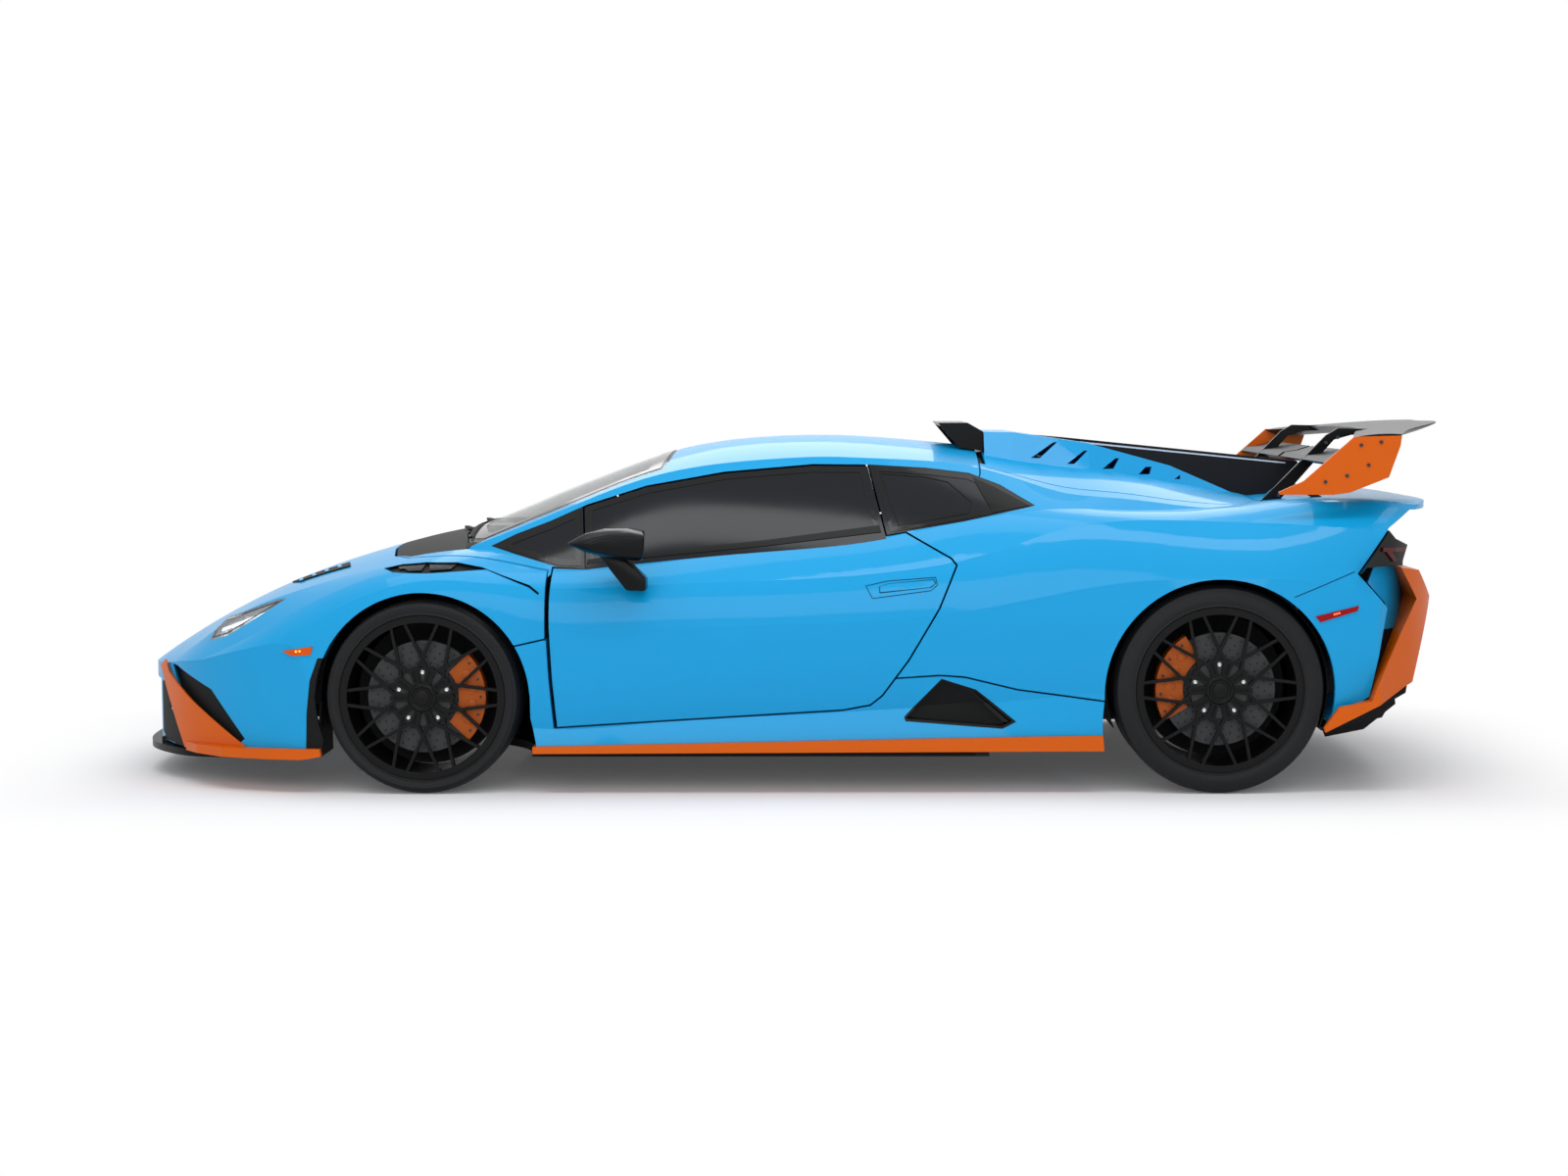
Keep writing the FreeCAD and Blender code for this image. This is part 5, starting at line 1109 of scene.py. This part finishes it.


# Wing, fin and tail details, in side view
# The fin's strip is a painted highlight: a pale plate on the fin's side standing for the
# sky's reflection along its bevelled top edge
FIN_HIGHLIGHT = ((0.993, 1.139), (1.800, 1.056), (1.800, 1.061), (0.993, 1.145))
FIN_HIGHLIGHT_THICKNESS = 0.0008
PLATE_BOLTS = ((1.780, 1.020), (1.850, 1.040), (1.920, 1.075), (1.895, 1.140),
               (1.960, 1.150))
PYLON_BOLTS = ((1.700, 0.960), (1.740, 0.985), (1.860, 1.140), (1.900, 1.158))
STRAKE = ((1.815, 0.192), (2.020, 0.296), (2.060, 0.306), (2.066, 0.262), (1.960, 0.176),
          (1.830, 0.150))
STRAKE_LEVELS = (0.18, 0.42, 0.66)
STRAKE_HALF = 0.005
# Exhaust tip: distance outwards from the pipe's radius, and place along it
EXHAUST_TIP = ((-0.006, -0.09), (-0.006, -0.002), (-0.003, 0.001), (0.001, -0.001),
               (0.0005, -0.012))
EXHAUST_STEPS = 64


class SUPERCAR_OT_aero(bpy.types.Operator):
    """Adds the fin's painted highlight strip, the wing's bolts, the strakes and the exhaust
    tips
    """
    bl_idname = "supercar.aero"
    bl_label = "Dress the wing and the tail"

    def execute(self, context):
        # A pale strip on each side of the fin, a painted highlight for the reflection along
        # its top edge
        side = outer_face("fin", -1)
        line = thick_plate("fin_line", FIN_HIGHLIGHT, side, side - FIN_HIGHLIGHT_THICKNESS, edge=0.0)
        fit_both(line, "pale", COVER)
        self.bolt_row("endplate_bolts", PLATE_BOLTS, outer_face("wing_endplates", -1))
        self.bolt_row("pylon_bolts", PYLON_BOLTS, outer_face("wing_pylons", -1))
        for number, y in enumerate(STRAKE_LEVELS):
            piece = thick_plate("strake_%d" % number, STRAKE, -y - STRAKE_HALF,
                                -y + STRAKE_HALF, edge=0.002)
            fit_both(piece, "woven_black", CHASSIS)
        self.exhaust_tips()
        return {"FINISHED"}

    def bolt_row(self, name, places, level):
        bolt = button(name, (0, level - 0.002, 0), 0.0065, depth=0.005, corners=6,
                      edge=0.0006, margin=0.0022, rise=-0.002)
        row = moved_copies(bolt, [(x, 0, z) for x, z in places])
        fit_both(row, "dark_metal", CHASSIS)

    def exhaust_tips(self):
        low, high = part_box("exhaust")
        radius = (high.z - low.z) / 2
        centre = (high.x, low.y + radius, (low.z + high.z) / 2)
        outline = [(radius + out, reach) for out, reach in EXHAUST_TIP]
        tip = spun("exhaust_tip", outline, centre, EXHAUST_STEPS)
        smooth(turned(tip, centre, -math.pi / 2, "Z"))
        fit_both(tip, "exhaust", CHASSIS)


# Cabin. The seat's shell in side view
SEAT_SIDE = (
    (-0.170, 0.160), (-0.185, 0.300), (-0.140, 0.335), (0.215, 0.262), (0.262, 0.300),
    (0.392, 0.800), (0.430, 0.842), (0.520, 0.832), (0.540, 0.780), (0.440, 0.300),
    (0.390, 0.160),
)
SEAT_MIDDLE = 0.37
SEAT_HALF = 0.235
SEAT_EDGE = 0.012
SEAT_RIM = 0.025
# Turns of the pads, in radians, each about its pivot
SQUAB_TURN = ((0.04, 0, 0.32), math.radians(10))
BACK_TURN = ((0.25, 0, 0.30), math.radians(13))
# Pads: name, two corners with Y from the seat's middle, finish, and turn
SEAT_PADS = (
    ("squab", (-0.150, -0.15, 0.290), (0.230, 0.15, 0.352), "accent_fabric", SQUAB_TURN),
    ("squab_side_in", (-0.150, -0.215, 0.290), (0.240, -0.155, 0.390), "trim_fabric",
     SQUAB_TURN),
    ("squab_side_out", (-0.150, 0.155, 0.290), (0.240, 0.215, 0.390), "trim_fabric",
     SQUAB_TURN),
    ("back", (0.215, -0.15, 0.340), (0.290, 0.15, 0.700), "accent_fabric", BACK_TURN),
    ("back_side_in", (0.180, -0.215, 0.340), (0.290, -0.155, 0.660), "trim_fabric",
     BACK_TURN),
    ("back_side_out", (0.180, 0.155, 0.340), (0.290, 0.215, 0.660), "trim_fabric",
     BACK_TURN),
    ("head_pad", (0.225, -0.10, 0.720), (0.290, 0.10, 0.830), "trim_fabric", BACK_TURN),
)
PAD_PUFF = 0.12

# Dash: the dials' hood from its rear upper edge, their face with its heights from there,
# and the middle screen from behind
DIAL_HOOD = ((-0.16, -0.02), (-0.14, 0.035), (0.005, 0.03), (0.005, -0.02))
DIAL_HOOD_SIDES = (-0.53, -0.21)
DIAL_FACE = ((-0.51, -0.045), (-0.23, -0.045), (-0.23, 0.02), (-0.51, 0.02))
CENTRE_SCREEN = ((-0.09, 0.56), (0.09, 0.56), (0.09, 0.68), (-0.09, 0.68))
AIR_VENT_PLACES = (-0.62, -0.16, 0.16, 0.62)
AIR_VENT_HEIGHT = 0.655
WHEEL_LEAN = math.radians(-22)


def cushion(name, low, high, pivot, turn):
    """A soft pad: a block with rounded, crowned faces"""
    piece = block(name, low, high)
    with editing(piece):
        bpy.ops.mesh.subdivide(number_cuts=5, smoothness=PAD_PUFF)
    shape_with(piece, "BEVEL", width=0.012, segments=3, limit_method="ANGLE",
               angle_limit=math.radians(40))
    shape_with(piece, "SUBSURF", levels=1, render_levels=1)
    turned(piece, pivot, turn, "Y")
    smooth(piece, 60.0)
    return piece


class SUPERCAR_OT_cabin(bpy.types.Operator):
    """Adds the seats' shells and pads, the dash's dials, screen and vents and the horn pad"""
    bl_idname = "supercar.cabin"
    bl_label = "Fit the cabin"

    def execute(self, context):
        for name, sign in SIDES:
            middle = sign * SEAT_MIDDLE
            shell = thick_plate("seat_shell_" + name, SEAT_SIDE, middle - SEAT_HALF,
                                middle + SEAT_HALF, SEAT_EDGE)
            with editing(shell):
                pick(shell, "faces", lambda face: abs(face.normal.y) > 0.9)
                bpy.ops.mesh.inset(thickness=SEAT_RIM, use_individual=True)
                bpy.ops.mesh.extrude_region_shrink_fatten(
                    TRANSFORM_OT_shrink_fatten={"value": -SEAT_EDGE})
            fit(shell, "woven_black", "chassis")
            if name == "left":
                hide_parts("seats")
            for kind, low, high, finish, turn in SEAT_PADS:
                corners = [(x, middle + y, z) for x, y, z in (low, high)]
                pad = cushion("seat_%s_%s" % (kind, name), *corners, *turn)
                fit(pad, finish, "chassis")
        self.add_dash()
        self.add_horn_pad()
        return {"FINISHED"}

    def add_dash(self):
        rear, _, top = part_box("dashboard")[1]
        hood = thick_plate("dial_hood", [(rear + x, top + z) for x, z in DIAL_HOOD],
                           *DIAL_HOOD_SIDES, edge=0.006)
        fit(hood, "trim_fabric", "chassis")
        face = thick_plate("dial_face", [(y, top + z) for y, z in DIAL_FACE],
                           rear + 0.0055, rear + 0.008, edge=0.001, plane="YZ")
        fit(face, "frit", "chassis")
        screen = thick_plate("centre_screen", CENTRE_SCREEN, rear + 0.001, rear + 0.006,
                             edge=0.002, plane="YZ")
        fit(screen, "frit", "chassis")
        for number, y in enumerate(AIR_VENT_PLACES):
            vent = button("air_vent_%d" % number, (rear + 0.003, y, AIR_VENT_HEIGHT), 0.034,
                          depth=0.008, corners=6, edge=0.001, way=(1, 0, 0), margin=0.006,
                          rise=-0.005)
            fit(vent, "gloss_black", "chassis")

    def add_horn_pad(self):
        middle = middle_of("steering_wheel")
        pad = button("horn_pad", middle + Vector((0.028, 0.0, 0.012)), 0.046, depth=0.014,
                     corners=24, edge=0.0015, way=(1, 0, 0), margin=0.008, rise=0.004)
        fit(turned(pad, middle, WHEEL_LEAN, "Y"), "trim_fabric", "steering_wheel")


# Engine. Outlines with their heights above the block: head covers in side view, air box
# from behind
HEAD_COVER = ((0.800, 0.0), (0.800, 0.040), (0.820, 0.062), (1.310, 0.062), (1.330, 0.040),
              (1.330, 0.0))
HEAD_COVER_SIDES = (-0.315, -0.195)
HEAD_RIB = ((0.860, 0.054), (0.860, 0.062), (0.875, 0.062), (0.875, 0.054))
HEAD_RIB_SIDES = (-0.290, -0.220)
HEAD_RIB_PLACES = [(0.045 * step, 0, 0) for step in range(9)]
HEAD_BOLT_PLACES = [(0.1265 * step, y, 0) for step in range(5) for y in (0.0, 0.100)]
AIR_BOX = ((-0.120, -0.002), (-0.120, 0.070), (-0.085, 0.105), (0.085, 0.105),
           (0.120, 0.070), (0.120, -0.002))
AIR_BOX_ENDS = (0.830, 1.300)
BOX_RIB = ((-0.088, 0.104), (-0.088, 0.110), (0.088, 0.110), (0.088, 0.104))
BOX_RIB_ENDS = (0.860, 0.872)
BOX_RIB_PLACES = [(0.057 * step, 0, 0) for step in range(8)]
# Air pipes: radius of the bow and of the pipe, middle of the first bow, and depth of the
# ends in the block
BOW_RADIUS = 0.062
PIPE_RADIUS = 0.020
PIPE_MIDDLE = Vector((0.880, -0.155, 0.030))
PIPE_SINK = 0.004
PIPE_PLACES = [(0.092 * step, 0, 0) for step in range(5)]
OIL_CAP_MIDDLE = Vector((1.080, 0.255, 0.066))


class SUPERCAR_OT_engine(bpy.types.Operator):
    """Adds the head covers, the air box, its pipes, the bolts and the oil cap"""
    bl_idname = "supercar.engine"
    bl_label = "Dress the engine"

    def execute(self, context):
        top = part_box("engine_block")[1].z
        rise = Vector((0.0, 0.0, top))

        def raised(outline):
            return [(a, top + height) for a, height in outline]

        cover = thick_plate("head_cover", raised(HEAD_COVER), *HEAD_COVER_SIDES, edge=0.008)
        step_face(cover, facing((0, 0, 1), 0.95, 0.02), margin=0.016, move=(0, 0, -0.006))
        smooth(cover)
        fit_both(cover, "accent_paint", CHASSIS)
        rib = thick_plate("head_cover_ribs", raised(HEAD_RIB), *HEAD_RIB_SIDES, edge=0.001)
        fit_both(moved_copies(rib, HEAD_RIB_PLACES), "dark_metal", CHASSIS)
        bolt = button("head_cover_bolts", (0.812, -0.305, top + 0.046), 0.007, depth=0.030,
                      corners=6, edge=0.0008, way=(0, 0, 1))
        fit_both(moved_copies(bolt, HEAD_BOLT_PLACES), "bright", CHASSIS)
        box = thick_plate("air_box", raised(AIR_BOX), *AIR_BOX_ENDS, edge=0.010, plane="YZ")
        fit(box, "matte_black", "chassis")
        rib = thick_plate("air_box_ribs", raised(BOX_RIB), *BOX_RIB_ENDS, edge=0.001,
                          plane="YZ")
        fit(moved_copies(rib, BOX_RIB_PLACES), "gloss_black", "chassis")
        self.add_pipes(PIPE_MIDDLE + rise, top - PIPE_SINK)
        cap = button("oil_cap", OIL_CAP_MIDDLE + rise, 0.024, depth=0.022, corners=12,
                     edge=0.002, way=(0, 0, 1), margin=0.006, rise=-0.004)
        fit(cap, "gloss_black", "chassis")
        return {"FINISHED"}

    def add_pipes(self, middle, floor):
        outline = circle(PIPE_RADIUS, 16, (BOW_RADIUS, 0.0))
        pipe = turned(spun("air_pipes", outline, middle, steps=48), middle, math.pi / 2, "Z")
        with editing(pipe):
            pick(pipe, "faces", lambda face: face.calc_center_median().z < floor)
            bpy.ops.mesh.delete(type="FACE")
            bpy.ops.mesh.select_all(action="SELECT")
            bpy.ops.mesh.region_to_loop()
            bpy.ops.mesh.edge_face_add()
        smooth(pipe, 60.0)
        fit_both(moved_copies(pipe, PIPE_PLACES), "metal", CHASSIS)


# Stage. The camera's angles are in radians, its lens and sensor in millimetres
CAMERA_PLACE = (0.1834, -9.3152, 1.3224)
CAMERA_YAW = 0.02108
CAMERA_PITCH = 0.07644
CAMERA_ROLL = -0.00401
CAMERA_LENS = 58.892
CAMERA_SENSOR = 36.0
CAMERA_REACH = 200.0
# Lamps: name, place, aim, width and height, and share of the lamp power
LAMPS = (
    ("top_lamp", (0.0, -3.1, 6.0), (0.0, -0.4, 0.5), (9.0, 1.1), 0.7),
    ("roof_lamp", (0.0, 1.0, 7.0), (0.0, 0.0, 0.5), (9.0, 3.0), 0.6),
    ("side_lamp", (-0.5, -8.5, 3.6), (0.0, 0.0, 0.5), (9.0, 4.0), 0.9),
    ("far_lamp", (1.0, 6.5, 5.0), (0.0, 0.0, 0.6), (8.0, 4.0), 0.8),
)
# The floor is its own colour by the car and white further out: half the length and width
# of the place where it begins to fade, the distance that takes, and the white it starts at
FADE_X = 2.1
FADE_Y = 0.9
FADE_DISTANCE = 0.9
FADE_START = 0.06
FLOOR_COLOR = (0.86, 0.86, 0.87, 1.0)
SKY_COLOR = (0.95, 0.97, 1.0, 1.0)
SKY_STRENGTH = 0.5
WHITE = (1.0, 1.0, 1.0, 1.0)


class SUPERCAR_OT_stage(bpy.types.Operator):
    """Adds the floor, the lamps, the world and the camera"""
    bl_idname = "supercar.stage"
    bl_label = "Set the stage"

    def execute(self, context):
        look = context.scene.supercar_looks
        bpy.ops.object.select_all(action="DESELECT")
        bpy.ops.mesh.primitive_plane_add(size=look.floor_size, location=(0, 0, 0))
        floor = named("floor")
        floor.data.materials.append(floor_finish())
        for name, place, aim, size, share in LAMPS:
            add_lamp(name, place, aim, size, look.lamp_power * share)
        set_world(context.scene)
        add_camera(context)
        context.scene.view_settings.view_transform = "Standard"
        return {"FINISHED"}


def seen_in_picture(tree):
    """1 for what the camera, a gloss or a clear piece shows, and 0 for light on the car"""
    path = tree.nodes.new("ShaderNodeLightPath")
    seen = reckon(tree, "MAXIMUM", path.outputs["Is Camera Ray"],
                  path.outputs["Is Glossy Ray"])
    return reckon(tree, "MAXIMUM", seen, path.outputs["Is Transmission Ray"])


def beyond(tree, place, limit):
    """Distance past a limit, on either side of the middle"""
    past = reckon(tree, "SUBTRACT", reckon(tree, "ABSOLUTE", place), limit)
    return reckon(tree, "MAXIMUM", past, 0.0)


def floor_finish():
    """Pale floor that keeps the car's shadow and fades to white further out"""
    made = bpy.data.materials.new("pale_floor")
    made.use_nodes = True
    tree = made.node_tree
    tree.nodes.clear()
    parts = add_node(tree, "SeparateXYZ", {"Vector": place_in(tree)}).outputs
    away = squares_added(tree, beyond(tree, parts["X"], FADE_X),
                         beyond(tree, parts["Y"], FADE_Y))
    fade = add_node(tree, "MapRange", {
        "Value": reckon(tree, "SQRT", away), "From Min": 0.0, "From Max": FADE_DISTANCE,
        "To Min": FADE_START}, interpolation_type="SMOOTHSTEP").outputs["Result"]
    flat = add_node(tree, "BsdfDiffuse", {"Color": FLOOR_COLOR}).outputs[0]
    white = add_node(tree, "Emission", {"Color": WHITE}).outputs[0]
    far = add_node(tree, "MixShader", {"Fac": fade, 1: flat, 2: white}).outputs[0]
    final = add_node(tree, "MixShader", {"Fac": seen_in_picture(tree), 1: flat, 2: far})
    add_node(tree, "OutputMaterial", {"Surface": final.outputs[0]})
    return made


def set_world(scene):
    """A soft sky for the light on the car, and white where the picture shows it"""
    world = bpy.data.worlds.new("studio")
    scene.world = world
    world.use_nodes = True
    tree = world.node_tree
    tree.nodes.clear()
    soft = add_node(tree, "Background", {"Color": SKY_COLOR, "Strength": SKY_STRENGTH})
    white = add_node(tree, "Background", {"Color": WHITE, "Strength": 1.0})
    mix = add_node(tree, "MixShader", {
        "Fac": seen_in_picture(tree), 1: soft.outputs[0], 2: white.outputs[0]})
    add_node(tree, "OutputWorld", {"Surface": mix.outputs[0]})


def add_lamp(name, place, aim, size, power):
    bpy.ops.object.light_add(type="AREA", location=place)
    made = bpy.context.object
    made.name = name
    made.data.shape = "RECTANGLE"
    made.data.size, made.data.size_y = size
    made.data.energy = power
    made.rotation_euler = (Vector(aim) - Vector(place)).to_track_quat("-Z", "Y").to_euler()


def add_camera(context):
    bpy.ops.object.camera_add(location=CAMERA_PLACE)
    camera = context.object
    camera.name = "camera"
    flat = math.cos(CAMERA_PITCH)
    forward = Vector((-math.sin(CAMERA_YAW) * flat, math.cos(CAMERA_YAW) * flat,
                      -math.sin(CAMERA_PITCH)))
    right = Vector((math.cos(CAMERA_YAW), math.sin(CAMERA_YAW), 0.0))
    up = right.cross(forward)
    rolled_right = right * math.cos(CAMERA_ROLL) + up * math.sin(CAMERA_ROLL)
    rolled_up = up * math.cos(CAMERA_ROLL) - right * math.sin(CAMERA_ROLL)
    axes = Matrix((rolled_right, rolled_up, -forward)).transposed()
    camera.rotation_euler = axes.to_euler()
    camera.data.sensor_width = CAMERA_SENSOR
    camera.data.lens = CAMERA_LENS
    camera.data.clip_end = CAMERA_REACH
    context.scene.camera = camera


class SUPERCAR_PT_panel(bpy.types.Panel):
    bl_label = "Supercar"
    bl_idname = "SUPERCAR_PT_panel"
    bl_space_type = "VIEW_3D"
    bl_region_type = "UI"
    bl_category = "Supercar"

    def draw(self, context):
        look = context.scene.supercar_looks
        for name in SupercarLooks.__annotations__:
            self.layout.prop(look, name)
        for step in STEPS:
            self.layout.operator(step.bl_idname)


STEPS = (
    SUPERCAR_OT_finishes, SUPERCAR_OT_wheels, SUPERCAR_OT_windows, SUPERCAR_OT_lamps,
    SUPERCAR_OT_body_trim, SUPERCAR_OT_grilles, SUPERCAR_OT_aero, SUPERCAR_OT_engine,
    SUPERCAR_OT_cabin, SUPERCAR_OT_stage,
)
CLASSES = (SupercarLooks, *STEPS, SUPERCAR_PT_panel)


def register():
    for kind in CLASSES:
        bpy.utils.register_class(kind)
    bpy.types.Scene.supercar_looks = bpy.props.PointerProperty(type=SupercarLooks)


def unregister():
    del bpy.types.Scene.supercar_looks
    for kind in reversed(CLASSES):
        bpy.utils.unregister_class(kind)


def main():
    register()
    for step in STEPS:
        group, name = step.bl_idname.split(".")
        getattr(getattr(bpy.ops, group), name)()


if __name__ == "__main__":
    main()
